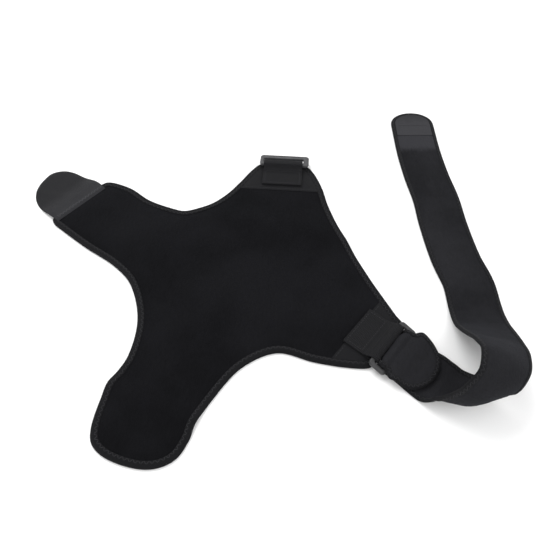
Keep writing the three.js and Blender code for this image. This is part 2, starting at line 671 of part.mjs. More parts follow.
// Strap: full thickness inside its binding, a thinner rim between the binding's legs
function strap() {
  const half = STRAP_THICKNESS / 2;
  const rim = half - STRAP_BINDING_WALL - CLEARANCE;
  const body = strapLayer(STRAP_BINDING_WIDTH + CLEARANCE, -half, half);
  const edge = strapLayer(STRAP_BINDING_WALL + CLEARANCE, -rim, rim);
  return namedMesh('strap', toGeometry(body.add(edge)), plush);
}

function strapBinding() {
  const half = STRAP_THICKNESS / 2;
  const outside = strapLayer(0, -half, half);
  const opening = strapLayer(STRAP_BINDING_WIDTH, -half - CLEARANCE, half + CLEARANCE);
  const inside = strapLayer(STRAP_BINDING_WALL, STRAP_BINDING_WALL - half, half - STRAP_BINDING_WALL);
  return namedMesh('strap_binding', toGeometry(outside.subtract(opening).subtract(inside)), tape);
}

// Hook tab on the free end: it lies on the side that faces up there
function strapTab() {
  const inset = STRAP_BINDING_WIDTH + CLEARANCE;
  const low = -STRAP_THICKNESS / 2 - CLEARANCE - STRAP_TAB_THICKNESS;
  const layer = strapLayer(inset, low, low + STRAP_TAB_THICKNESS, strapLength - STRAP_TAB_LENGTH);
  return namedMesh('strap_tab', toGeometry(layer), smoothCloth);
}

function strapGroup() {
  const group = lobeFrame(backEnd);
  const inner = new THREE.Group();
  inner.position.set(farBarReach, BACK_LOOP_OFFSET, 0);
  inner.add(strap(), strapBinding(), strapTab());
  group.add(inner);
  return group;
}

// The whole brace, with its origin under the middle of its box
const brace = new THREE.Group();
brace.add(
  shoulderPanel(),
  panelBinding(),
  armTab(),
  lobePatch('front_patch', frontEnd, FRONT_PATCH_LENGTH),
  lobePatch('back_patch', backEnd, BACK_PATCH_LENGTH),
  loopSet(frontEnd, 'front', FRONT_LOOP_SETBACK, radians(FRONT_LOOP_TILT), 0, FRONT_LOOP_SHIFT),
  loopSet(backEnd, 'back', BACK_LOOP_SETBACK, strappedTilt, BACK_LOOP_OFFSET, BACK_LOOP_OFFSET),
  strapGroup(),
);
brace.updateMatrixWorld(true);
const box = new THREE.Box3().setFromObject(brace, true);
brace.position.set(-(box.min.x + box.max.x) / 2, -(box.min.y + box.max.y) / 2, 0);

export default brace;
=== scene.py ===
from math import asin, atan2, copysign, cos, exp, hypot, pi, radians, sin, sqrt

import bmesh
import bpy
import numpy as np
from bpy.props import FloatProperty, FloatVectorProperty, PointerProperty
from mathutils import Matrix, Vector, noise


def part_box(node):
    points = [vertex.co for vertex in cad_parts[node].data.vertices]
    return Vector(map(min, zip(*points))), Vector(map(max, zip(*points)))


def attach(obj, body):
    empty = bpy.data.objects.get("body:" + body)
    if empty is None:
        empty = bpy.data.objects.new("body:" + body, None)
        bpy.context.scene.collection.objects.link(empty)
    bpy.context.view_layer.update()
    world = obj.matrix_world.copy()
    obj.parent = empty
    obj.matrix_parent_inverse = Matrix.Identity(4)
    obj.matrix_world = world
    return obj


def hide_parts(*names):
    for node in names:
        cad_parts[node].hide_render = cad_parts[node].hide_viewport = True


bl_info = {
    "name": "Shoulder brace",
    "version": (1, 0, 0),
    "blender": (4, 5, 0),
    "location": "3D View > Sidebar > Brace",
    "description": "Builds the cloth, tapes, loops and strap of a shoulder brace lying flat",
    "category": "Object",
}

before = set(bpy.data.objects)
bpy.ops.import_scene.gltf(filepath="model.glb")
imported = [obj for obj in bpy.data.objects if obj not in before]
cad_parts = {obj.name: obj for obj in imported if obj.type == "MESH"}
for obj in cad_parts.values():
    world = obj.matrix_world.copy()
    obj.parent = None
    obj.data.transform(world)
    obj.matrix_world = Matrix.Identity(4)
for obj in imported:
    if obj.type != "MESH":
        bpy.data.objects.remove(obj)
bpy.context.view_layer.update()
MM = 0.001

# Sizes that the cloth pieces share with the solids, in millimetres
PANEL_THICKNESS = 3.5
BINDING_WIDTH = 7.5
PATCH_THICKNESS = 0.8
CLEARANCE = 0.3
FRONT_PATCH_LENGTH = 45
BACK_PATCH_LENGTH = 36
ARM_TAB_LENGTH = 71.5
ARM_TAB_WIDTH = 74
ARM_TAB_THICKNESS = 1.6
ARM_TAB_OVERLAP = 9.5
WEBBING_THICKNESS = 1.4
WEBBING_LENGTH = 38
LOOP_WIDTH = 61
LOOP_LENGTH = 20
LOOP_THICKNESS = 4.6
LOOP_BAR = 5
LOOP_EDGE_ROUND = 1.3
GROOVE_DEPTH = 1.4
GROOVE_REACH = 19.5
RING_SQUARENESS = 0.62
BACK_LOOP_TONE = 0.55
FRONT_LOOP_SETBACK = 7
BACK_LOOP_SETBACK = 2.2
FRONT_LOOP_TILT = 10
NEAR_BAR_HEIGHT = 10.2
BAR_CLEARANCE = 0.4
FLOOR_GAP = 0.2
BACK_LOOP_OFFSET = -2.4
FRONT_LOOP_SHIFT = -1.2
STRAP_END_ROUND = 24
STRAP_BINDING_WIDTH = 5
STRAP_TAB_LENGTH = 46
TONGUE_LENGTH = 42
TONGUE_LIFT = 1.5
TONGUE_FADE = 5
LEFT_FLARE = (4.6, 16.0)
RIGHT_FLARE = (2.6, 5.0)
RUN_FADE = 45
WRAP_REACH = (36, 66)
RUBBED_PILE = 66
TAB_SEAM = 27

# Shares by lobe: the webbing's slack round the bar, and the far and right bars' widths
FOLD_SLACK = {"front": 1.45, "back": 1.1}
BAR_WIDTHS = {"front": (1.3, 1.35), "back": (1.0, 1.0)}

# Panel outline, clockwise from the arm lobe: shares of the panel's width and length
OUTLINE = [
    (-0.552, 0.306), (-0.534, 0.316), (-0.463, 0.296), (-0.395, 0.25), (-0.331, 0.225),
    (-0.277, 0.214), (-0.222, 0.237), (-0.168, 0.29), (-0.132, 0.346), (-0.099, 0.404),
    (-0.073, 0.432), (0.067, 0.432), (0.092, 0.404), (0.12, 0.341), (0.14, 0.268),
    (0.185, 0.152), (0.256, 0.006), (0.32, -0.108), (0.341, -0.147), (0.258, -0.266),
    (0.247, -0.273), (0.196, -0.275), (0.115, -0.266), (0.022, -0.247), (-0.06, -0.294),
    (-0.119, -0.381), (-0.151, -0.448), (-0.16, -0.486), (-0.181, -0.53), (-0.215, -0.554),
    (-0.262, -0.561), (-0.343, -0.541), (-0.38, -0.511), (-0.39, -0.474), (-0.385, -0.398),
    (-0.377, -0.358), (-0.363, -0.328), (-0.346, -0.283), (-0.344, -0.175), (-0.388, -0.062),
    (-0.445, -0.005), (-0.538, 0.053), (-0.627, 0.115), (-0.654, 0.136), (-0.662, 0.157),
]
ARM_ENDS = (44, 0)
FRONT_ENDS = (10, 11)
BACK_ENDS = (18, 19)

# Packing folds: two ends in shares of the panel's sizes, then height and reach in millimetres
FOLDS = [
    (-0.4, -0.352, -0.13, -0.452, 2.4, 17),
    (-0.24, 0.215, 0.19, 0.14, 1.8, 24),
    (0.2, 0.12, 0.03, -0.14, 1.6, 22),
    (-0.5, 0.13, -0.33, 0.05, 0.7, 20),
    (-0.2, -0.05, 0.02, -0.1, 0.7, 28),
]

# Arm tab outline: shares of its length out from the seam and of its width to the left
ARM_TAB = [
    (0, -0.46), (0.21, -0.458), (0.52, -0.401), (0.754, -0.347), (0.906, -0.25), (1, -0.092),
    (0.976, 0.088), (0.897, 0.264), (0.772, 0.397), (0.621, 0.474), (0.42, 0.508), (0, 0.49),
]

# Strap sections: along, side and low edge as shares of the spread, across and rise in degrees,
# and bulge as a share of the width
STRAP_SECTIONS = [
    (0, 0, 0, 0, 0, 0),
    (0.066, 0, 0, 0, 0, 0),
    (0.13, 0, 0, -1, 0, 0.01),
    (0.178, 0.001, 0.004, -8, -16, 0.13),
    (0.211, -0.002, 0.045, -16, -24, 0.28),
    (0.248, 0.004, 0.073, -37, -36, 0.24),
    (0.273, 0.024, 0.108, -60, -37, 0.15),
    (0.263, 0.078, 0.139, -67, -25, 0.1),
    (0.235, 0.126, 0.136, -63, -13, 0.04),
    (0.206, 0.165, 0.107, -58, -7, 0),
    (0.179, 0.202, 0.073, -54, -3, 0),
    (0.151, 0.241, 0.038, -52, 0, 0),
    (0.118, 0.287, 0.01, -51, 0, 0),
    (0.08, 0.335, 0, -51, 0, 0),
    (0.038, 0.381, 0, -49, 0, 0),
    (-0.043, 0.443, 0, -45, 0, 0),
    (-0.162, 0.557, 0, -48, 0, 0),
    (-0.242, 0.644, 0, -48, 0, 0),
    (-0.337, 0.731, 0, -45, 0, 0),
    (-0.432, 0.828, 0, -47, 0, 0),
    (-0.525, 0.935, 0, -50, 0, 0),
    (-0.586, 1.006, 0, -50, 0, 0),
]

# Sections of the folded tapes: inset from the edge and height, in millimetres
PANEL_TAPE = [
    (7.5, 3.3), (7.35, 3.7), (6.9, 4.0), (5.6, 4.22), (3.9, 4.25), (2.4, 4.05), (1.2, 3.5),
    (0.4, 2.7), (0.1, 1.9), (0.3, 1.0), (0.9, 0.35), (2.2, 0.05), (4.5, 0.02), (7.2, 0.05),
    (7.4, 1.6),
]
STRAP_TAPE_SIDE = [
    (5.0, 1.3), (4.8, 1.62), (4.3, 1.8), (3.2, 1.9), (1.9, 1.82), (0.8, 1.45), (0.2, 0.8),
]

# Area lights: name, place in metres, size in metres, power in watts
LIGHTS = [
    ("key", (-0.55, 0.75, 1.35), 1.1, 18.0),
    ("fill", (0.9, -0.35, 1.2), 1.3, 8.0),
    ("front", (-0.2, -1.1, 0.9), 1.2, 5.0),
]

# Camera: place in millimetres, turn and tilt in degrees, focal length in picture widths
CAMERA_PLACE = (25.4, -354.1, 507)
CAMERA_TURN = 4.1
CAMERA_TILT = 55
CAMERA_FOCUS = 563 / 550
SENSOR_WIDTH = 36


# Curves and outlines

def smoother(value, low, high):
    t = min(max((value - low) / (high - low), 0.0), 1.0)
    return t * t * t * (t * (6 * t - 15) + 10)


def spline(knots, steps, closed=False):
    """Smooth curve through the knots, with the same number of steps in each span."""
    count = len(knots)
    points = []
    for span in range(count if closed else count - 1):
        p1, p2 = knots[span], knots[(span + 1) % count]
        p0 = knots[span - 1] if closed or span else 2 * p1 - p2
        p3 = knots[(span + 2) % count] if closed or span + 2 < count else 2 * p2 - p1
        d1 = max((p2 - p1).length, 1e-9) ** 0.5
        d0 = (p1 - p0).length ** 0.5 or d1
        d2 = (p3 - p2).length ** 0.5 or d1
        t1 = ((p1 - p0) / d0 - (p2 - p0) / (d0 + d1) + (p2 - p1) / d1) * d1
        t2 = ((p2 - p1) / d1 - (p3 - p1) / (d1 + d2) + (p3 - p2) / d2) * d1
        for step in range(steps):
            t = step / steps
            cubic = 2 * p1 - 2 * p2 + t1 + t2
            square = 3 * p2 - 3 * p1 - 2 * t1 - t2
            points.append(p1 + t * (t1 + t * (square + t * cubic)))
    if not closed:
        points.append(knots[-1].copy())
    return points


def running(points, unit=1):
    """How far along a line each of its points is."""
    lengths = [0.0]
    for before, after in zip(points, points[1:]):
        lengths.append(lengths[-1] + (after - before).length / unit)
    return lengths


def even_loop(points, step):
    """A closed outline with its points about one step apart."""
    ring = points + [points[0]]
    lengths = running(ring)
    count = max(8, round(lengths[-1] / step))
    marks = np.arange(count) * lengths[-1] / count
    axes = [np.interp(marks, lengths, [p[axis] for p in ring]) for axis in (0, 1)]
    return [Vector((x, y)) for x, y in zip(*axes)]


def inset_loop(loop, distance):
    """The clockwise outline moved inwards, relaxed where a tight corner would cross itself."""
    count = len(loop)
    moved = []
    for index, point in enumerate(loop):
        along = (loop[(index + 1) % count] - loop[index - 1]).normalized()
        moved.append(point + Vector((along.y, -along.x)) * distance)
    for _ in range(12):
        for index in range(count):
            after = (index + 1) % count
            if (moved[after] - moved[index]).dot(loop[after] - loop[index]) <= 0:
                moved[index] = (moved[index - 1] + moved[after]) / 2
                moved[after] = (moved[index] + moved[(after + 1) % count]) / 2
    return moved


def loop_area(loop):
    turned = loop[1:] + loop[:1]
    return abs(sum(a.x * b.y - b.x * a.y for a, b in zip(loop, turned))) / 2


def edge_distances(points, loop):
    """How far each point is from a closed outline."""
    starts = np.array([tuple(p) for p in loop])
    sides = np.roll(starts, -1, axis=0) - starts
    squares = (sides**2).sum(1)
    nearest = []
    for point in points:
        away = np.array((point[0], point[1])) - starts
        share = np.clip((away * sides).sum(1) / squares, 0, 1)
        nearest.append(sqrt(((away - sides * share[:, None]) ** 2).sum(1).min()))
    return nearest


def lobe(outline_ends, width, length):
    """Middle and heading of a lobe's straight end, before the shift to the frame's origin."""
    first, second = (Vector((OUTLINE[i][0] * width, OUTLINE[i][1] * length)) for i in outline_ends)
    side = second - first
    return (first + second) / 2, atan2(side.x, -side.y)


def lobe_place(middle, heading, shift):
    """A function from a lobe's own millimetres to the frame's metres."""
    turn = Matrix.Rotation(heading, 4, "Z")
    base = Matrix.Translation((middle.x + shift.x, middle.y + shift.y, 0)) @ turn

    def place(x, y, z):
        point = base @ Vector((x, y, z))
        return Vector((point.x, point.y, max(point.z, 0.02))) * MM

    return place


class Brace:
    """Everything that the pieces share: outlines, lobes, the shift to the frame and the packing
    folds.
    """

    def __init__(self, sizes):
        self.sizes = sizes
        width, length = sizes.panel_width / MM, sizes.panel_length / MM
        self.front = lobe(FRONT_ENDS, width, length)
        self.back = lobe(BACK_ENDS, width, length)
        self.arm = lobe(ARM_ENDS, width, length)
        low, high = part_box("front_webbing")
        self.shift = Vector((
            (low.x + high.x) / 2 / MM - self.front[0].x,
            low.y / MM + WEBBING_LENGTH - self.front[0].y,
        ))
        knots = [Vector((x * width, y * length)) for x, y in OUTLINE]
        self.outline = even_loop(spline(knots, 12, closed=True), 2.2)
        self.folds = [
            (Vector((x0 * width, y0 * length)), Vector((x1 * width, y1 * length)), height, reach)
            for x0, y0, x1, y1, height, reach in FOLDS
        ]

    def fold_lift(self, x, y):
        lift = 0.0
        for start, end, height, reach in self.folds:
            line = end - start
            away = Vector((x, y)) - start
            share = min(max(away.dot(line) / line.length_squared, 0), 1)
            near = (away - line * share).length / reach
            if near < 1:
                lift += height * 0.5 * (1 + cos(pi * near))
        return lift

    def panel_place(self, x, y, z):
        high = max(z + self.fold_lift(x, y), 0.02)
        return Vector((x + self.shift.x, y + self.shift.y, high)) * MM


# The strap's lie

BAR_RADIUS = LOOP_EDGE_ROUND + hypot(
    LOOP_BAR / 2 - LOOP_EDGE_ROUND, LOOP_THICKNESS / 2 - LOOP_EDGE_ROUND)


class StrapLie:
    """Carries the strap's flat pattern to where it lies: through the back loop, over and back."""

    def __init__(self, brace):
        sizes = brace.sizes
        self.width = sizes.strap_width / MM
        self.thick = sizes.strap_thickness / MM
        self.spread = sizes.strap_spread / MM
        self.wrap = BAR_RADIUS + BAR_CLEARANCE + self.thick / 2
        self.bar_height = self.thick / 2 + self.wrap
        self.tilt = asin((NEAR_BAR_HEIGHT - self.bar_height) / (LOOP_LENGTH - LOOP_BAR))
        reach = (LOOP_LENGTH - LOOP_BAR) * cos(self.tilt) - BACK_LOOP_SETBACK
        lobe_to_frame = lobe_place(*brace.back, brace.shift)
        self.to_frame = lambda p: lobe_to_frame(p.x + reach, p.y + BACK_LOOP_OFFSET, p.z)
        self.path = self.centre_line()
        self.measure()
        for _ in range(2):
            self.rest_on_floor()

    def centre_line(self):
        path = []
        across = Vector((0, 1, 0))
        tongue = 1.5 * self.thick + CLEARANCE + TONGUE_LIFT
        top = self.bar_height + self.wrap
        for step in range(16):
            along = TONGUE_LENGTH * (1 - step / 16)
            climb = 1 - smoother(along, 0, 0.75 * TONGUE_LENGTH)
            path.append([Vector((along, 0, tongue + (top - tongue) * climb)), across.copy(), 0.0])
        for step in range(8):
            angle = pi / 2 + pi * step / 8
            x, z = self.wrap * cos(angle), self.bar_height + self.wrap * sin(angle)
            path.append([Vector((x, 0, z)), across.copy(), 0.0])
        centres, ends, bulges = [], [], []
        for index, (along, side, low, turn, rise, bulge) in enumerate(STRAP_SECTIONS):
            turn, rise = radians(90 + turn), radians(rise)
            direction = Vector((cos(rise) * cos(turn), cos(rise) * sin(turn), sin(rise)))
            edge = self.width / 2 * abs(sin(rise)) * self.chord(bulge)
            height = low * self.spread + self.thick / 2 + edge
            centre = Vector((along * self.spread, side * self.spread, height))
            centres.append(centre)
            ends.append(centre + direction)
            bulges.append(Vector((index, bulge, 0)))
        for centre, end, bulge in zip(spline(centres, 12), spline(ends, 12), spline(bulges, 12)):
            direction = (end - centre).normalized()
            curve = max(0.0, bulge.y)
            edge = self.width / 2 * self.chord(curve) * abs(direction.z)
            belly = self.width * curve * hypot(direction.x, direction.y)
            centre.z = max(centre.z, self.thick / 2 + max(edge, belly))
            path.append([centre, direction, curve])
        return path

    @staticmethod
    def chord(bulge):
        return 1 - (8 / 3) * bulge * bulge

    def measure(self):
        self.marks = running([section[0] for section in self.path])
        self.length = self.marks[-1]

    def rest_on_floor(self):
        half = self.thick / 2
        for index, section in enumerate(self.path):
            heights = [
                self.point(self.marks[index], side, height).z
                for side in (-self.width / 2, 0, self.width / 2)
                for height in (-half, half)
            ]
            section[0].z += max(0.0, FLOOR_GAP - min(heights))
        self.measure()

    def section(self, distance):
        last = len(self.path) - 1
        index = min(max(int(np.searchsorted(self.marks, distance)), 1), last)
        before, after = self.path[index - 1], self.path[index]
        share = (distance - self.marks[index - 1]) / (self.marks[index] - self.marks[index - 1])
        centre = before[0].lerp(after[0], share)
        tangent = self.path[min(last, index + 1)][0] - self.path[max(0, index - 2)][0]
        tangent.normalize()
        across = before[1].lerp(after[1], share)
        across = (across - tangent * across.dot(tangent)).normalized()
        bulge = before[2] + (after[2] - before[2]) * share
        return centre, across, tangent.cross(across), bulge

    def point(self, distance, side, height):
        centre, across, normal, bulge = self.section(distance)
        share = side / self.width
        chord = self.chord(bulge)
        sag = bulge * self.width * (1 - 4 * share * share)
        if height < 0:
            height *= 1 + self.swell(distance)
        outward = (normal - across * (8 * share * bulge / chord)).normalized()
        return centre + across * side * chord - normal * sag + outward * height

    @staticmethod
    def swell(distance):
        """The padding bunches up where the strap turns round the bar, and fills the slot."""
        past = distance - TONGUE_LENGTH
        return 2.0 * smoother(past, -2, 4) * (1 - smoother(past, 7, 12))

    def place(self, distance, side, height):
        return self.to_frame(self.point(distance, side, height))

    def half_width(self, distance, flare, spread):
        squeeze = (self.width - LOOP_WIDTH) / 2 + LOOP_BAR + 0.1
        half_wrap = pi * self.wrap / 2
        past = distance - TONGUE_LENGTH - half_wrap
        fade = TONGUE_FADE if past < 0 else RUN_FADE
        squeeze *= 1 - smoother(abs(past) - half_wrap, 0, fade)
        beside_loop = distance - TONGUE_LENGTH + 8
        flare *= exp(-((beside_loop / (5 if beside_loop > 0 else spread)) ** 2))
        from_end = min(distance, self.length - distance)
        share = min(max(1 - from_end / STRAP_END_ROUND, 0), 1)
        return (self.width / 2 - squeeze + flare) * sqrt(max(0.0, 1 - share**2.2))

    def outline(self):
        """Clockwise flat outline: distance along the strap, then side."""
        ends = [STRAP_END_ROUND * (step / 24) ** 2 for step in range(24)]
        middle = np.arange(STRAP_END_ROUND, self.length - STRAP_END_ROUND, 1.5)
        stations = ends + list(middle) + [self.length - end for end in reversed(ends)]
        left = [Vector((d, self.half_width(d, *LEFT_FLARE))) for d in stations]
        right = [Vector((d, -self.half_width(d, *RIGHT_FLARE))) for d in reversed(stations[1:-1])]
        return even_loop(left + right, 1.8)


# Shaders

class Value:
    """A number that a node gives, with arithmetic that adds Math nodes."""

    def __init__(self, shader, socket):
        self.shader = shader
        self.socket = socket

    def math(self, operation, *values):
        node = self.shader.node("ShaderNodeMath", {"operation": operation}, dict(enumerate(values)))
        return Value(self.shader, node.outputs[0])

    def __add__(self, other):
        return self.math("ADD", self, other)

    def __mul__(self, other):
        return self.math("MULTIPLY", self, other)

    def __sub__(self, other):
        return self.math("SUBTRACT", self, other)

    def __rsub__(self, other):
        return self.math("SUBTRACT", other, self)

    __radd__ = __add__
    __rmul__ = __mul__

    def waves(self, pitch):
        """Goes from 0 to 1 and back once in each pitch."""
        return (self * (2 * pi / pitch)).turned("SINE") * 0.5 + 0.5

    def turned(self, operation):
        return self.math(operation, self)

    def above(self, edge, soft):
        """Rises from 0 to 1 around an edge."""
        settings = {"interpolation_type": "SMOOTHSTEP"}
        inputs = {"Value": self, "From Min": edge - soft, "From Max": edge + soft}
        node = self.shader.node("ShaderNodeMapRange", settings, inputs)
        return Value(self.shader, node.outputs[0])


class Shader:
    """One material and the nodes in it."""

    def __init__(self, name):
        self.material = bpy.data.materials.new(name)
        self.material.use_nodes = True
        self.nodes = self.material.node_tree.nodes
        self.links = self.material.node_tree.links
        self.surface = self.nodes["Principled BSDF"]
        self.where = self.node("ShaderNodeTexCoord").outputs["Object"]

    def node(self, kind, settings=None, inputs=None):
        node = self.nodes.new(kind)
        for key, value in (settings or {}).items():
            setattr(node, key, value)
        for key, value in (inputs or {}).items():
            self.put(node.inputs[key], value)
        return node

    def put(self, socket, value):
        if isinstance(value, Value):
            self.links.new(value.socket, socket)
        elif isinstance(value, bpy.types.NodeSocket):
            self.links.new(value, socket)
        else:
            socket.default_value = value

    def axes(self, vector):
        node = self.node("ShaderNodeSeparateXYZ", {}, {0: vector})
        return [Value(self, output) for output in node.outputs]

    def cloth(self):
        """The cloth's own coordinates in metres: along it and across it."""
        return self.axes(self.node("ShaderNodeUVMap", {"uv_map": "cloth"}).outputs[0])[:2]

    def noise(self, scale, detail=3.0, rough=0.55, stretch=None):
        """Noise over the piece, drawn out into streaks if there is a stretch for each axis."""
        where = self.where
        if stretch:
            inputs = {"Vector": where, "Scale": stretch}
            where = self.node("ShaderNodeMapping", {}, inputs).outputs[0]
        inputs = {"Vector": where, "Scale": scale, "Detail": detail, "Roughness": rough}
        return Value(self, self.node("ShaderNodeTexNoise", {}, inputs).outputs[0])

    def cells(self, scale):
        inputs = {"Vector": self.where, "Scale": scale}
        return Value(self, self.node("ShaderNodeTexVoronoi", {}, inputs).outputs["Distance"])

    def blend(self, share, first, second):
        """A colour between two colours."""
        node = self.node("ShaderNodeMix", {"data_type": "RGBA"})
        self.put(node.inputs[0], share)
        self.put(node.inputs[6], first)
        self.put(node.inputs[7], second)
        return node.outputs[2]

    def bump(self, height, distance, strength=1.0, under=None):
        inputs = {"Height": height, "Distance": distance, "Strength": strength}
        if under is not None:
            inputs["Normal"] = under
        return self.node("ShaderNodeBump", {}, inputs).outputs[0]

    def finish(self, colour, roughness, normal, sheen=0.0, tint=(1, 1, 1), gloss=0.5):
        inputs = {
            "Base Color": colour, "Roughness": roughness, "Normal": normal, "Sheen Weight": sheen,
            "Sheen Roughness": 0.45, "Sheen Tint": (*tint, 1), "Specular IOR Level": gloss,
        }
        for key, value in inputs.items():
            self.put(self.surface.inputs[key], value)
        return self.material


def shade(colour, factor):
    return (*[min(1.0, c * factor) for c in colour[:3]], 1)


def plush_finish(name, colour, rubbed_from=None):
    """Brushed loop pile: short fibres lying in patches, with fine specks of painted sparkle.

    Past rubbed_from, in metres along the cloth, the pile is rubbed flat and paler."""
    s = Shader(name)
    patches = s.noise(28, 4, 0.6).above(0.52, 0.16)
    strokes = s.noise(420, 3, 0.7, (1.0, 0.35, 1.0))
    fibres = s.noise(1900, 2, 0.6)
    curls = s.cells(900)
    tone = patches * 0.3 + strokes * 0.55 + fibres * 0.35
    drift = s.noise(8, 2, 0.5).above(0.52, 0.12)
    ground = s.blend(tone, shade(colour, 0.45), shade(colour, 1.6))
    ground = s.blend(drift * (0.3 + strokes * 0.6), ground, shade(colour, 1.9))
    # Painted sparkle: fine specks painted brighter where fibres would catch the light
    sparkle_specks = fibres.above(0.74, 0.03) * strokes.above(0.6, 0.05)
    ground = s.blend(sparkle_specks * 0.35, ground, shade(colour, 6))
    if rubbed_from is not None:
        along, _ = s.cloth()
        rubbed = (along + strokes * 0.012).above(rubbed_from, 0.006)
        ground = s.blend(rubbed * 0.75, ground, shade(colour, 3.4))
    pile = s.bump(fibres * 0.6 + curls * 0.5, 0.0007, 0.8)
    nap = s.bump(strokes + patches * 0.8, 0.0011, 0.55, pile)
    return s.finish(ground, 0.86 + patches * 0.1, nap, sheen=0.03, tint=(0.8, 0.85, 1), gloss=0.04)


def knit_finish(name, colour):
    """Smooth fine knit with ribs one way and a faint mottling."""
    s = Shader(name)
    x, y, _ = s.axes(s.where)
    ribs = x.waves(0.0011)
    rows = y.waves(0.0008)
    mottle = s.noise(160, 3)
    tone = ribs * rows * 0.6 + mottle * 0.4
    ground = s.blend(tone, shade(colour, 0.7), shade(colour, 1.35))
    relief = s.bump(ribs + rows, 0.0004, 0.7)
    return s.finish(ground, 0.6 + mottle * 0.2, relief, sheen=0.03, gloss=0.08)


def tape_finish(name, colour):
    """Woven edge tape: twill lines across the tape, fuzzed a little all over."""
    s = Shader(name)
    along, across = s.cloth()
    twill = (along + across * 0.8).waves(0.0013)
    cords = across.waves(0.0011)
    fuzz = s.noise(1500, 2, 0.65)
    wear = s.noise(55, 3)
    tone = twill * 0.55 + cords * 0.2 + fuzz * 0.3 + wear * 0.25
    ground = s.blend(tone, shade(colour, 0.45), shade(colour, 1.6))
    weave = s.bump(twill * 0.8 + cords * 0.4 + fuzz * 0.5, 0.0006, 0.9)
    return s.finish(ground, 0.8 + fuzz * 0.15, weave, sheen=0.03, gloss=0.06)


def hook_finish(name, colour, paler_until):
    """Hook tape: rows of tiny stiff hooks that catch the light, scuffed between.

    Up to the distance given last, in metres along the cloth, it is painted paler: on the arm tab
    this paler part near the seam is a painted highlight."""
    s = Shader(name)
    along, across = s.cloth()
    rows = along.waves(0.0014)
    hooks = across.waves(0.0011)
    scuff = s.noise(75, 4, 0.6)
    grit = s.noise(1400, 2, 0.6)
    tone = rows * hooks * 0.5 + scuff * 0.45 + grit * 0.25
    ground = s.blend(tone, shade(colour, 0.45), shade(colour, 1.2))
    # Painted paler part up to the given distance along the cloth: on the arm tab, a painted
    # highlight near the seam
    paler_part = 1 - (along + scuff * 0.02).above(paler_until, 0.022)
    ground = s.blend(paler_part * 0.6, ground, shade(colour, 1.9))
    relief = s.bump(rows * hooks + grit * 0.4, 0.0006, 0.85)
    return s.finish(ground, 0.5 + scuff * 0.25, relief, sheen=0.03, gloss=0.12)


def webbing_finish(name, colour):
    """Ribbed webbing: heavy ribs across the strap with a herringbone between them."""
    s = Shader(name)
    along, across = s.cloth()
    chevron = ((across * (1 / 0.006)).turned("FRACT") - 0.5).turned("ABSOLUTE")
    ribs = (along + chevron * 0.0022).waves(0.0016)
    ends = across.waves(0.0009)
    fuzz = s.noise(1300, 2, 0.6)
    tone = ribs * 0.55 + ends * 0.2 + fuzz * 0.35
    ground = s.blend(tone, shade(colour, 0.4), shade(colour, 1.6))
    relief = s.bump(ribs + ends * 0.4 + fuzz * 0.3, 0.0007, 1.0)
    return s.finish(ground, 0.62 + fuzz * 0.2, relief, sheen=0.02, gloss=0.1)


def thread_finish(name, colour):
    """Twisted sewing thread."""
    s = Shader(name)
    twist = s.noise(2600, 1, 0.5)
    ground = s.blend(twist, shade(colour, 0.7), shade(colour, 1.4))
    return s.finish(ground, 0.55, s.bump(twist, 0.0003, 0.6), gloss=0.2)


def plastic_finish(name, colour):
    """Moulded nylon: fine satin grain, rubbed smoother and paler in places."""
    s = Shader(name)
    grain = s.noise(2200, 2, 0.6)
    rubbed = s.noise(120, 4, 0.65).above(0.55, 0.12)
    scratches = s.noise(500, 3, 0.7, (1.0, 6.0, 1.0)).above(0.66, 0.03)
    ground = s.blend(rubbed * 0.5 + scratches * 0.5, shade(colour, 0.85), shade(colour, 1.5))
    roughness = 0.42 + grain * 0.12 - rubbed * 0.1
    return s.finish(ground, roughness, s.bump(grain + scratches * 0.4, 0.0002, 0.35), gloss=0.35)


# Meshes

def walk_ring(verts):
    """A closed ring's vertices in order round it."""
    ring = [verts[0]]
    before = None
    while len(ring) < len(verts):
        here = ring[-1]
        after = next(
            e.other_vert(here) for e in here.link_edges if e.other_vert(here) is not before)
        before = here
        ring.append(after)
    return ring


def add_object(name, data):
    piece = bpy.data.objects.new(name, data)
    bpy.context.scene.collection.objects.link(piece)
    return piece


def keep_mesh(bm, name, materials, body, node=None, sharp=50):
    """Turn a finished bmesh into a piece that rides on its body, in place of a solid if any."""
    for edge in bm.edges:
        if len(edge.link_faces) == 2:
            edge.smooth = edge.calc_face_angle(0) < radians(sharp)
    for face in bm.faces:
        face.smooth = True
    mesh = bpy.data.meshes.new(name)
    bm.to_mesh(mesh)
    bm.free()
    piece = add_object(name, mesh)
    for material in materials:
        mesh.materials.append(material)
    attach(piece, body)
    if node:
        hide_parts(node)
    return piece


def write_uv(bm, spots, span):
    """The cloth's own coordinates in metres, unbroken across the place where a ring closes."""
    layer = bm.loops.layers.uv.new("cloth")
    for face in bm.faces:
        alongs = [spots[corner.vert][0] for corner in face.loops]
        crossing = max(alongs) - min(alongs) > span / 2
        for corner in face.loops:
            along, across = spots[corner.vert]
            if crossing and along < span / 2:
                along += span
            corner[layer].uv = (along * MM, across * MM)


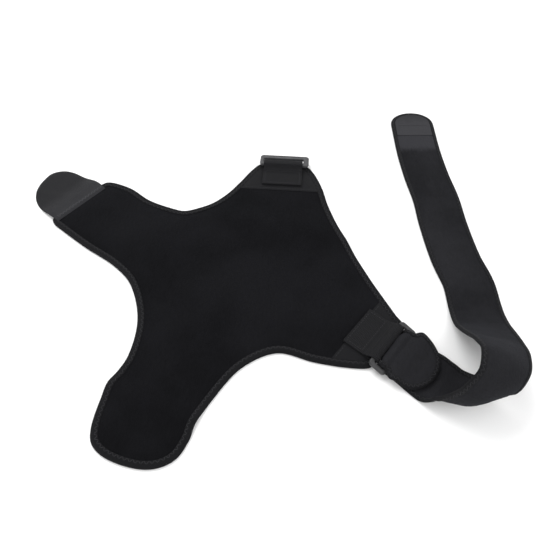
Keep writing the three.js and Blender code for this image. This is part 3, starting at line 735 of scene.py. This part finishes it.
def swept_ring(rings):
    """A closed tube from rings of points: each ring goes all the way round the piece."""
    bm = bmesh.new()
    count = len(rings[0])
    made = bmesh.ops.create_circle(bm, segments=count, radius=1.0)
    ring = walk_ring(made["verts"])
    spots = {}
    lengths = running(rings[0], MM)
    span = lengths[-1] + (rings[0][0] - rings[0][-1]).length / MM
    across = 0.0
    for number, points in enumerate(rings + rings[:1]):
        if number:
            across += (points[0] - rings[number - 1][0]).length / MM
            edges = [
                next(e for e in here.link_edges if e.other_vert(here) is ring[(i + 1) % count])
                for i, here in enumerate(ring)
            ]
            made = bmesh.ops.extrude_edge_only(bm, edges=edges)
            fresh = {v for v in made["geom"] if isinstance(v, bmesh.types.BMVert)}
            ring = [
                next(e.other_vert(v) for e in v.link_edges if e.other_vert(v) in fresh)
                for v in ring
            ]
        for vert, point, along in zip(ring, points, lengths):
            vert.co = point
            spots[vert] = (along, across)
    write_uv(bm, spots, span)
    bmesh.ops.remove_doubles(bm, verts=bm.verts[:], dist=1e-7)
    bmesh.ops.recalc_face_normals(bm, faces=bm.faces[:])
    return bm


def cut(bm, spot, normal, clear=False):
    """Divide a flat sheet along a line, and drop what lies behind it if told to clear."""
    geom = bm.verts[:] + bm.edges[:] + bm.faces[:]
    bmesh.ops.bisect_plane(
        bm, geom=geom, dist=1e-5, clear_inner=clear, plane_co=(*spot, 0), plane_no=(*normal, 0))


def divide(bm, cuts):
    """Straight cuts across a flat sheet: pairs of an axis and a place on it."""
    for axis, place in cuts:
        if axis == 0:
            cut(bm, (place, 0), (1, 0))
        else:
            cut(bm, (0, place), (0, 1))


def flat_grid(outline, cuts):
    """A flat sheet cut to an outline and divided by straight cuts."""
    bm = bmesh.new()
    made = bmesh.ops.create_circle(bm, cap_ends=True, segments=len(outline), radius=1.0)
    for vert, point in zip(walk_ring(made["verts"]), reversed(outline)):
        vert.co = (point.x, point.y, 0)
    divide(bm, cuts)
    return bm


def edge_map(bm, outline):
    """How far each flat vertex is from an outline, by its place."""
    flat = [(v.co.x, v.co.y) for v in bm.verts]
    return dict(zip(flat, edge_distances(flat, outline)))


def grid_cuts(outline, step_x, step_y):
    xs, ys = [p.x for p in outline], [p.y for p in outline]
    cuts = [(0, x) for x in np.arange(min(xs) + step_x / 2, max(xs), step_x)]
    return cuts + [(1, y) for y in np.arange(min(ys) + step_y / 2, max(ys), step_y)]


def laid_sheet(bm, place, under, over, round_edge=0.0):
    """Give a flat sheet its thickness and carry it to where it lies.

    under and over give the heights of its two faces at a flat place."""
    made = bmesh.ops.extrude_face_region(bm, geom=bm.faces[:])
    fresh = {v for v in made["geom"] if isinstance(v, bmesh.types.BMVert)}
    spots = {vert: (vert.co.x, vert.co.y) for vert in bm.verts}
    write_uv(bm, spots, 1e9)
    for vert in bm.verts:
        x, y = spots[vert]
        height = over(x, y) if vert in fresh else under(x, y)
        vert.co = place(x, y, height)
    bmesh.ops.recalc_face_normals(bm, faces=bm.faces[:])
    if round_edge:
        rim = [e for e in bm.edges if e.calc_face_angle(0) > 1.0]
        bmesh.ops.bevel(
            bm, geom=rim, offset=round_edge * MM, segments=2, profile=0.5, affect="EDGES",
            material=-1)
    return bm


def stitches(name, pairs, radius, colour):
    """A row of sewing on the brace: each pair of places is one slim closed stitch."""
    bm = bmesh.new()
    for start, end in pairs:
        line = end - start
        turn = line.to_track_quat("Z", "Y").to_matrix().to_4x4()
        size = Matrix.Diagonal((radius * MM, radius * MM, line.length / 2, 1))
        matrix = Matrix.Translation((start + end) / 2) @ turn @ size
        bmesh.ops.create_icosphere(bm, subdivisions=1, radius=1.0, matrix=matrix)
    return keep_mesh(bm, name, [thread_finish(f"{name} thread", colour)], "brace")


def at(line, marks, distance):
    return Vector([np.interp(distance, marks, [p[axis] for p in line]) for axis in range(3)])


def stitch_row(name, points, length, gap, colour, radius):
    """Straight stitches along a line of points in the frame's metres."""
    marks = running(points, MM)
    pairs = []
    distance = gap / 2
    while distance + length < marks[-1]:
        pairs.append((at(points, marks, distance), at(points, marks, distance + length)))
        distance += length + gap
    return stitches(name, pairs, radius, colour)


def zigzag_row(name, first, second, pitch, colour, radius):
    """Stitches that cross to and fro between two lines of equally many points."""
    marks = running(first, MM)
    pairs = []
    for step in range(int(marks[-1] / pitch)):
        start, end = (first, second) if step % 2 else (second, first)
        pairs.append((at(start, marks, step * pitch), at(end, marks, (step + 1) * pitch)))
    return stitches(name, pairs, radius, colour)


def edge_tape(name, place, outline, profile, material, node):
    """A folded tape round an outline: profile goes round its section."""
    rings = [
        [place(p.x, p.y, height) for p in inset_loop(outline, inset)] for inset, height in profile
    ]
    return keep_mesh(swept_ring(rings), name, [material], "brace", node)


def edge_seam(name, place, outline, lines, pitch, colour, radius):
    """A zigzag round an outline, between two lines given by inset and height."""
    outer, inner = (
        [place(p.x, p.y, height) for p in inset_loop(outline, inset)] for inset, height in lines
    )
    outer.append(outer[0])
    inner.append(inner[0])
    return zigzag_row(name, outer, inner, pitch, colour, radius)


# Settings

def length(name, description, default):
    return FloatProperty(name=name, description=description, default=default, unit="LENGTH")


def colour(name, description, *default):
    return FloatVectorProperty(
        name=name, description=description, default=default, subtype="COLOR")


class BraceSizes(bpy.types.PropertyGroup):
    panel_width: length("Panel width", "From the arm lobe to the back lobe", 0.402)
    panel_length: length("Panel length", "From the cuff to the front lobe", 0.390)
    webbing_width: length("Webbing width", "Width of the webbing that holds a loop", 0.048)
    strap_width: length("Strap width", "Width of the padded strap", 0.0565)
    strap_thickness: length("Strap thickness", "Thickness of the padded strap", 0.003)
    strap_spread: length("Strap spread", "Reach of the lying strap from the back loop", 0.32)


class BraceColours(bpy.types.PropertyGroup):
    plush: colour("Plush", "Brushed inner face of the panel", 0.0043, 0.0043, 0.0050)
    strap_plush: colour("Strap plush", "Brushed faces of the strap", 0.0105, 0.0105, 0.0118)
    knit: colour("Knit", "Smooth outer face and the patches", 0.0115, 0.0115, 0.0130)
    tape: colour("Edge tape", "Binding round the panel", 0.0085, 0.0085, 0.0095)
    hook: colour("Hook tape", "Tabs on the arm lobe and the strap", 0.0170, 0.0170, 0.0192)
    webbing: colour("Webbing", "Webbing that holds the loops", 0.0125, 0.0125, 0.0140)
    plastic: colour("Loops", "Moulded loops", 0.0580, 0.0580, 0.0610)
    thread: colour("Thread", "Sewing thread", 0.0280, 0.0280, 0.0310)
    floor: colour("Floor", "Plain pale floor", 0.92, 0.92, 0.92)


def settings():
    scene = bpy.context.scene
    return Brace(scene.brace_sizes), scene.brace_colours


# Pieces

def build_panel(brace, colours):
    rim = inset_loop(brace.outline, BINDING_WIDTH - 0.4)
    bm = flat_grid(rim, grid_cuts(rim, 3.6, 3.6))
    edge = edge_map(bm, rim)

    def over(x, y):
        puff = smoother(edge[(x, y)], 0, 8)
        waves = noise.noise(Vector((x / 34, y / 34, 3.1))) * 0.55
        waves += noise.noise(Vector((x / 13, y / 13, 7.7))) * 0.22
        return PANEL_THICKNESS - 0.5 + (1.0 + waves) * puff

    def under(x, y):
        return 0.25 * (1 - smoother(edge[(x, y)], 0, 6))

    laid_sheet(bm, brace.panel_place, under, over)
    for face in bm.faces:
        face.material_index = 1 if face.normal.z < -0.5 else 0
    plush = plush_finish("panel plush", colours.plush)
    knit = knit_finish("outer knit", colours.knit)
    panel = keep_mesh(bm, "panel_pad", [plush, knit], "brace", "shoulder_panel")

    tape = tape_finish("panel tape", colours.tape)
    place, outline = brace.panel_place, brace.outline
    binding = edge_tape("panel_edge_tape", place, outline, PANEL_TAPE, tape, "panel_binding")
    lines = ((4.0, 4.33), (7.3, 4.0))
    seam = edge_seam("panel_edge_stitches", place, outline, lines, 2.6, colours.thread, 0.28)
    area = loop_area(brace.outline) * MM * MM


class BRACE_OT_panel(bpy.types.Operator):
    """Build the padded panel, its edge binding and the binding's stitches"""

    bl_idname = "brace.panel"
    bl_label = "Panel and binding"

    def execute(self, context):
        build_panel(*settings())
        return {"FINISHED"}


def build_arm_tab(brace, colours):
    knots = [
        Vector((out * ARM_TAB_LENGTH - ARM_TAB_OVERLAP, left * ARM_TAB_WIDTH))
        for out, left in ARM_TAB
    ]
    outline = even_loop(spline(knots, 10)[::-1], 1.6)
    to_frame = lobe_place(*brace.arm, brace.shift)
    free = ARM_TAB_LENGTH - ARM_TAB_OVERLAP
    crease = Vector((0.5, -0.866))

    def lift(x, y):
        drop = (PANEL_THICKNESS + 0.75) * (1 - smoother(x, 2, 0.5 * free))
        drop -= 1.0 * (1 - smoother(x, -ARM_TAB_OVERLAP, -6.0))
        ridge = abs((Vector((x, y)) - Vector((14, 4))).dot(crease)) / 9
        soft = 0.6 * (1 + cos(pi * min(ridge, 1))) * smoother(x, -4, 10)
        soft *= max(0.0, 1 - (2 * y / ARM_TAB_WIDTH) ** 2)
        tip = 1.2 * smoother(x, 0.55 * free, free)
        return drop + 0.5 * soft + tip

    def place(x, y, z):
        return to_frame(x, y, z + lift(x, y))

    bm = flat_grid(outline, grid_cuts(outline, 1.9, 1.9))
    edge = edge_map(bm, outline)

    def over(x, y):
        rim = smoother(edge[(x, y)], 1.4, 2.6)
        return ARM_TAB_THICKNESS * (0.62 + 0.38 * rim)

    laid_sheet(bm, place, lambda x, y: 0.0, over, 0.25)
    # The paler part up to 22 mm along the tab, near the seam, is a painted highlight
    hook = hook_finish("arm hook tape", colours.hook, 0.022)
    tab = keep_mesh(bm, "arm_hook_tab", [hook], "brace", "arm_tab")

    bright = shade(colours.thread, 1.8)
    sides = np.linspace(-0.43, 0.46, 60) * ARM_TAB_WIDTH
    first = [place(-7.4, y, ARM_TAB_THICKNESS + 0.15) for y in sides]
    second = [place(-3.2, y, ARM_TAB_THICKNESS + 0.15) for y in sides]
    seam = zigzag_row("arm_tab_stitches", first, second, 2.3, bright, 0.42)
    area = loop_area(outline) * MM * MM


class BRACE_OT_arm_tab(bpy.types.Operator):
    """Build the hook tab on the arm lobe and its seam"""

    bl_idname = "brace.arm_tab"
    bl_label = "Arm tab"

    def execute(self, context):
        build_arm_tab(*settings())
        return {"FINISHED"}


def build_patch(brace, colours, side, end, length):
    middle, heading = end
    out = Vector((cos(heading), sin(heading)))
    turn = Vector((-out.y, out.x))
    line = middle - out * length
    rim = inset_loop(brace.outline, BINDING_WIDTH - 0.2)
    bm = flat_grid(rim, [])
    cut(bm, line, out, clear=True)
    spare = [f for f in bm.faces if (f.calc_center_median().xy - middle).length >= 2 * length]
    bmesh.ops.delete(bm, geom=spare, context="FACES")
    area = sum(f.calc_area() for f in bm.faces)
    reach = 2.4 * length
    for step in np.arange(-reach, reach, 3.0):
        for normal in (out, turn):
            cut(bm, line + normal * (step + 1.3), normal)
    edge = edge_map(bm, rim)
    base = PANEL_THICKNESS + CLEARANCE

    def over(x, y):
        puff = smoother(edge[(x, y)], 0, 6)
        waves = noise.noise(Vector((x / 16, y / 16, 1.7))) * 0.25
        hem = smoother((Vector((x, y)) - line).dot(out), 0.0, 1.6)
        return base + 0.15 + (PATCH_THICKNESS + waves) * (0.35 + 0.65 * puff) * (0.55 + 0.45 * hem)

    laid_sheet(bm, brace.panel_place, lambda x, y: base - 0.4, over)
    knit = knit_finish(f"{side} patch knit", colours.knit)
    name, node = f"{side}_patch_cloth", f"{side}_patch"
    cloth = keep_mesh(bm, name, [knit], "brace", node)

    inside = []
    for step in np.arange(-90, 90, 1.0):
        spot = line + out * 2.4 + turn * step
        if contains(rim, spot) and min(edge_distances([spot], rim)) > 1.0:
            inside.append(brace.panel_place(spot.x, spot.y, over_at(edge, spot, over) + 0.1))
    name = f"{side}_patch_stitches"
    seam = stitch_row(name, inside, 2.6, 0.9, colours.thread, 0.28)
    area * MM * MM


def contains(loop, point):
    inside = False
    for before, after in zip(loop, loop[1:] + loop[:1]):
        if (before.y > point.y) != (after.y > point.y):
            cross = before.x + (point.y - before.y) * (after.x - before.x) / (after.y - before.y)
            if point.x < cross:
                inside = not inside
    return inside


def over_at(known, spot, over):
    """The height of a face at the known flat place nearest to a spot."""
    nearest = min(known, key=lambda k: (k[0] - spot.x) ** 2 + (k[1] - spot.y) ** 2)
    return over(*nearest)


class BRACE_OT_patches(bpy.types.Operator):
    """Build the smooth reinforcement patches on the front and back lobes"""

    bl_idname = "brace.patches"
    bl_label = "Lobe patches"

    def execute(self, context):
        brace, colours = settings()
        build_patch(brace, colours, "front", brace.front, FRONT_PATCH_LENGTH)
        build_patch(brace, colours, "back", brace.back, BACK_PATCH_LENGTH)
        return {"FINISHED"}


def build_webbing(brace, colours, side, end, setback, offset):
    to_frame = lobe_place(*end, brace.shift)
    low = PANEL_THICKNESS + PATCH_THICKNESS + 2 * CLEARANCE
    under, over = low + WEBBING_THICKNESS / 2, low + 1.5 * WEBBING_THICKNESS
    radius = BAR_RADIUS + BAR_CLEARANCE + WEBBING_THICKNESS / 2
    turn = []
    for degrees in (125, 95, 60, 25, -10, -45, -80):
        out, up = radius * cos(radians(degrees)), radius * sin(radians(degrees))
        turn.append((out * FOLD_SLACK[side] - setback, NEAR_BAR_HEIGHT + up))
    knots = [(-WEBBING_LENGTH, over), (-setback - 24, over), (-setback - 17.8, over + 0.05)]
    knots += [(-setback - 12.3, over + 0.3), (-setback - 7.3, over + 2.9)]
    knots += turn + [(-setback - 5.8, under + 0.45), (-setback - 11.8, under + 0.1)]
    knots += [(-setback - 24, under), (-WEBBING_LENGTH, under)]
    line = spline([Vector((x, 0, z)) for x, z in knots], 8)
    marks = running(line)
    half = brace.sizes.webbing_width / MM / 2

    def place(distance, y, height):
        index = min(max(int(np.searchsorted(marks, distance)), 1), len(line) - 1)
        share = (distance - marks[index - 1]) / (marks[index] - marks[index - 1])
        spot = line[index - 1].lerp(line[index], share)
        tangent = line[min(index + 1, len(line) - 1)] - line[max(index - 2, 0)]
        tangent.normalize()
        normal = Vector((-tangent.z, 0, tangent.x))
        spot = spot + normal * height
        return to_frame(spot.x, y + offset, spot.z)

    total = marks[-1]
    corners = [Vector((0, -half)), Vector((0, half)), Vector((total, half)), Vector((total, -half))]
    cuts = [(0, d) for d in np.arange(0.8, total, 0.8)]
    steps = (0.2, 0.4, 0.6, 0.8, 0.9, 0.97)
    cuts += [(1, share * half) for share in sorted((0, *steps, *[-step for step in steps]))]
    bm = flat_grid(corners, cuts)

    def thickness(y):
        selvedge = smoother(half - abs(y), 0, 1.6)
        cord = exp(-((half - abs(y) - 2.2) / 0.9) ** 2)
        return WEBBING_THICKNESS / 2 * (0.55 + 0.4 * selvedge + 0.12 * cord)

    def over_face(x, y):
        ridges = sum(exp(-((x - spot) / 1.3) ** 2) for spot in (22.5, 30.5))
        return thickness(y) + 0.45 * ridges

    laid_sheet(bm, place, lambda x, y: -thickness(y), over_face)
    ribbed = webbing_finish(f"{side} webbing", colours.webbing)
    name, node = f"{side}_loop_webbing", f"{side}_webbing"
    piece = keep_mesh(bm, name, [ribbed], "brace", node, sharp=60)

    height = WEBBING_THICKNESS / 2 + 0.1
    box = half - 3.0
    path = [place(d, box, height) for d in np.arange(2.5, 21, 1)]
    path += [place(21, y, height) for y in np.arange(box, -box, -1)]
    path += [place(d, -box, height) for d in np.arange(21, 2.5, -1)]
    path += [place(2.5, y, height) for y in np.arange(-box, box, 1)]
    seam = stitch_row(f"{side}_webbing_stitches", path, 2.4, 0.8, colours.thread, 0.3)


class BRACE_OT_webbing(bpy.types.Operator):
    """Build the folded webbing that holds each loop, with its box of stitches"""

    bl_idname = "brace.webbing"
    bl_label = "Loop webbing"

    def execute(self, context):
        brace, colours = settings()
        build_webbing(brace, colours, "front", brace.front, FRONT_LOOP_SETBACK, 0)
        build_webbing(brace, colours, "back", brace.back, BACK_LOOP_SETBACK, BACK_LOOP_OFFSET)
        return {"FINISHED"}


def build_ring(brace, colours, side, end, bar, tilt, body):
    to_frame = lobe_place(*end, brace.shift)
    pose = Matrix.Translation(bar) @ Matrix.Rotation(tilt, 4, "Y")
    half = LOOP_THICKNESS / 2
    rings = []
    for angle in (2 * pi * step / 24 for step in range(24)):
        c, s = cos(angle), sin(angle)
        inset = LOOP_BAR / 2 * (1 - copysign(abs(c) ** RING_SQUARENESS, c))
        height = half * copysign(abs(s) ** RING_SQUARENESS, s)
        grooved = side == "front" and 0.4 < inset < 1.6 and s > 0
        points = []
        for x, y in rounded(inset, *BAR_WIDTHS[side]):
            far = x > LOOP_LENGTH - LOOP_BAR - 1 and abs(y) < GROOVE_REACH
            groove = GROOVE_DEPTH if grooved and far else 0.0
            spot = pose @ Vector((x, y, height - groove))
            points.append(to_frame(*spot))
        rings.append(points)
    bm = swept_ring(rings)
    tone = 1.0 if side == "front" else BACK_LOOP_TONE
    plastic = plastic_finish(f"{side} loop plastic", shade(colours.plastic, tone))
    keep_mesh(bm, f"{side}_ring", [plastic], body, f"{side}_loop")


def rounded(inset, far_bar, right_bar):
    """Points round the loop at one inset from its outer edge, in the loop's own plane.

    far_bar and right_bar are those bars' widths as shares of the other bars' width."""
    near, far = -LOOP_BAR / 2 + inset, LOOP_LENGTH - LOOP_BAR / 2 - inset * far_bar
    left, right = LOOP_WIDTH / 2 - inset, inset * right_bar - LOOP_WIDTH / 2
    radius = 4.0 - 0.6 * inset
    corners = [
        (far - radius, left - radius, 90, 0), (far - radius, right + radius, 0, -90),
        (near + radius, right + radius, -90, -180), (near + radius, left - radius, 180, 90),
    ]

    def around(x, y, angle):
        angle = radians(angle)
        return x + radius * cos(angle), y + radius * sin(angle)

    points = []
    for number, (x, y, start, stop) in enumerate(corners):
        points += [around(x, y, angle) for angle in np.linspace(start, stop, 8)]
        x, y = points[-1]
        end_x, end_y = around(*corners[(number + 1) % 4][:3])
        steps = 8 if number % 2 else 30
        for share in (step / steps for step in range(1, steps)):
            points.append((x + (end_x - x) * share, y + (end_y - y) * share))
    return points


class BRACE_OT_loops(bpy.types.Operator):
    """Build the two moulded loops: the empty front one turns on its bar"""

    bl_idname = "brace.loops"
    bl_label = "Loops"

    def execute(self, context):
        brace, colours = settings()
        tilt = radians(FRONT_LOOP_TILT)
        bar = (-FRONT_LOOP_SETBACK, FRONT_LOOP_SHIFT, NEAR_BAR_HEIGHT)
        build_ring(brace, colours, "front", brace.front, bar, tilt, "loop")
        bar = (-BACK_LOOP_SETBACK, BACK_LOOP_OFFSET, NEAR_BAR_HEIGHT)
        build_ring(brace, colours, "back", brace.back, bar, StrapLie(brace).tilt, "brace")
        return {"FINISHED"}


def build_strap(brace, colours):
    lie = StrapLie(brace)
    outline = lie.outline()
    rim = inset_loop(outline, STRAP_BINDING_WIDTH - 0.4)
    start, end = WRAP_REACH
    along = [d for d in np.arange(2, lie.length, 2.0) if d < start or d > end]
    cuts = [(0, d) for d in sorted(along + list(np.arange(start, end, 0.8)))]
    cuts += [(1, y) for y in np.arange(-21, 22, 3.5)]
    bm = flat_grid(rim, cuts)
    edge = edge_map(bm, rim)
    half = lie.thick / 2

    def face(sign, seed):
        def height(x, y):
            puff = smoother(edge[(x, y)], 0, 6)
            waves = noise.noise(Vector((x / 24, y / 24, seed))) * 0.3
            return sign * (half - 0.25 + (0.45 + waves) * puff)
        return height

    laid_sheet(bm, lie.place, face(-1, 2.3), face(1, 5.9))
    plush = plush_finish("strap plush", colours.strap_plush, (lie.length - RUBBED_PILE) * MM)
    strap = keep_mesh(bm, "strap_pad", [plush], "brace", "strap")

    under_side = [(inset, -height) for inset, height in reversed(STRAP_TAPE_SIDE)]
    profile = STRAP_TAPE_SIDE + [(0.0, 0.0)] + under_side + [(4.9, 0.0)]
    tape = tape_finish("strap tape", shade(colours.strap_plush, 0.9))
    binding = edge_tape("strap_edge_tape", lie.place, outline, profile, tape, "strap_binding")
    for side, sign in (("upper", -1), ("lower", 1)):
        name, lines = f"strap_{side}_stitches", ((1.3, sign * 1.8), (4.4, sign * 1.88))
        edge_seam(name, lie.place, outline, lines, 2.4, colours.thread, 0.26)
    area = loop_area(outline) * MM * MM


class BRACE_OT_strap(bpy.types.Operator):
    """Build the padded strap, its binding and its overlocked edge"""

    bl_idname = "brace.strap"
    bl_label = "Strap"

    def execute(self, context):
        build_strap(*settings())
        return {"FINISHED"}


def build_strap_tab(brace, colours):
    lie = StrapLie(brace)
    rim = inset_loop(lie.outline(), STRAP_BINDING_WIDTH + 0.2)
    bm = flat_grid(rim, [])
    start = lie.length - STRAP_TAB_LENGTH
    cut(bm, (start, 0), (1, 0), clear=True)
    area = sum(f.calc_area() for f in bm.faces)
    divide(bm, [(0, x) for x in np.arange(start + 1, lie.length, 2.0)])
    divide(bm, [(1, y) for y in np.arange(-22, 23, 2.0)])
    half = lie.thick / 2
    laid_sheet(bm, lie.place, lambda x, y: -half - 0.85, lambda x, y: -half + 0.2, 0.2)
    hook = hook_finish("strap hook tape", shade(colours.hook, 1.4), lie.length * MM)
    tab = keep_mesh(bm, "strap_hook_tab", [hook], "brace", "strap_tab")
    line = [lie.place(lie.length - TAB_SEAM, y, -half - 0.95) for y in np.arange(-20.5, 20.6, 1)]
    seam = stitch_row("strap_tab_stitches", line, 2.5, 0.8, colours.thread, 0.3)
    area * MM * MM


class BRACE_OT_strap_tab(bpy.types.Operator):
    """Build the hook tab on the strap's free end"""

    bl_idname = "brace.strap_tab"
    bl_label = "Strap tab"

    def execute(self, context):
        build_strap_tab(*settings())
        return {"FINISHED"}


class BRACE_OT_stage(bpy.types.Operator):
    """Set up the pale floor, the soft lights and the camera"""

    bl_idname = "brace.stage"
    bl_label = "Stage"

    def execute(self, context):
        brace, colours = settings()
        bm = bmesh.new()
        bmesh.ops.create_grid(bm, x_segments=2, y_segments=2, size=6.0)
        mesh = bpy.data.meshes.new("floor")
        bm.to_mesh(mesh)
        bm.free()
        s = Shader("floor")
        grain = s.noise(300, 2)
        pale = s.blend(grain, shade(colours.floor, 0.985), (*colours.floor, 1))
        relief = s.bump(grain, 0.0001, 0.1)
        mesh.materials.append(s.finish(pale, 0.7 + grain * 0.1, relief, gloss=0.2))
        add_object("floor", mesh)

        world = bpy.data.worlds.new("studio")
        world.use_nodes = True
        background = world.node_tree.nodes["Background"]
        background.inputs[0].default_value = (1.0, 1.0, 1.0, 1)
        background.inputs[1].default_value = 0.7
        context.scene.world = world
        for name, place, size, power in LIGHTS:
            data = bpy.data.lights.new(name, "AREA")
            data.size = size
            data.energy = power
            lamp = add_object(name, data)
            lamp.location = place
            lamp.rotation_euler = (-Vector(place)).to_track_quat("-Z", "Y").to_euler()

        turn, tilt = radians(CAMERA_TURN), radians(CAMERA_TILT)
        x, y, z = CAMERA_PLACE
        eye = Vector((x + brace.shift.x, y + brace.shift.y, z)) * MM
        right = Vector((cos(turn), sin(turn), 0))
        level = cos(tilt)
        ahead = Vector((-sin(turn) * level, cos(turn) * level, -sin(tilt)))
        data = bpy.data.cameras.new("camera")
        data.sensor_width = SENSOR_WIDTH
        data.lens = SENSOR_WIDTH * CAMERA_FOCUS
        data.clip_start = 0.01
        camera = add_object("camera", data)
        basis = Matrix((right, right.cross(ahead), -ahead)).transposed().to_4x4()
        camera.matrix_world = Matrix.Translation(eye) @ basis
        context.scene.camera = camera
        context.scene.view_settings.view_transform = "Standard"
        return {"FINISHED"}


class BRACE_PT_sidebar(bpy.types.Panel):
    """The brace's pieces and settings in the sidebar"""

    bl_label = "Shoulder brace"
    bl_idname = "BRACE_PT_sidebar"
    bl_space_type = "VIEW_3D"
    bl_region_type = "UI"
    bl_category = "Brace"

    def draw(self, context):
        layout = self.layout
        for group in (context.scene.brace_sizes, context.scene.brace_colours):
            for name in group.__annotations__:
                layout.prop(group, name)
        for operator in OPERATORS:
            layout.operator(operator.bl_idname)


OPERATORS = (
    BRACE_OT_panel,
    BRACE_OT_arm_tab,
    BRACE_OT_patches,
    BRACE_OT_webbing,
    BRACE_OT_loops,
    BRACE_OT_strap,
    BRACE_OT_strap_tab,
    BRACE_OT_stage,
)
CLASSES = (BraceSizes, BraceColours, *OPERATORS, BRACE_PT_sidebar)


def register():
    for kind in CLASSES:
        bpy.utils.register_class(kind)
    bpy.types.Scene.brace_sizes = PointerProperty(type=BraceSizes)
    bpy.types.Scene.brace_colours = PointerProperty(type=BraceColours)


def unregister():
    del bpy.types.Scene.brace_colours
    del bpy.types.Scene.brace_sizes
    for kind in reversed(CLASSES):
        bpy.utils.unregister_class(kind)


def main():
    register()
    bpy.ops.brace.panel()
    bpy.ops.brace.arm_tab()
    bpy.ops.brace.patches()
    bpy.ops.brace.webbing()
    bpy.ops.brace.loops()
    bpy.ops.brace.strap()
    bpy.ops.brace.strap_tab()
    bpy.ops.brace.stage()


if __name__ == "__main__":
    main()
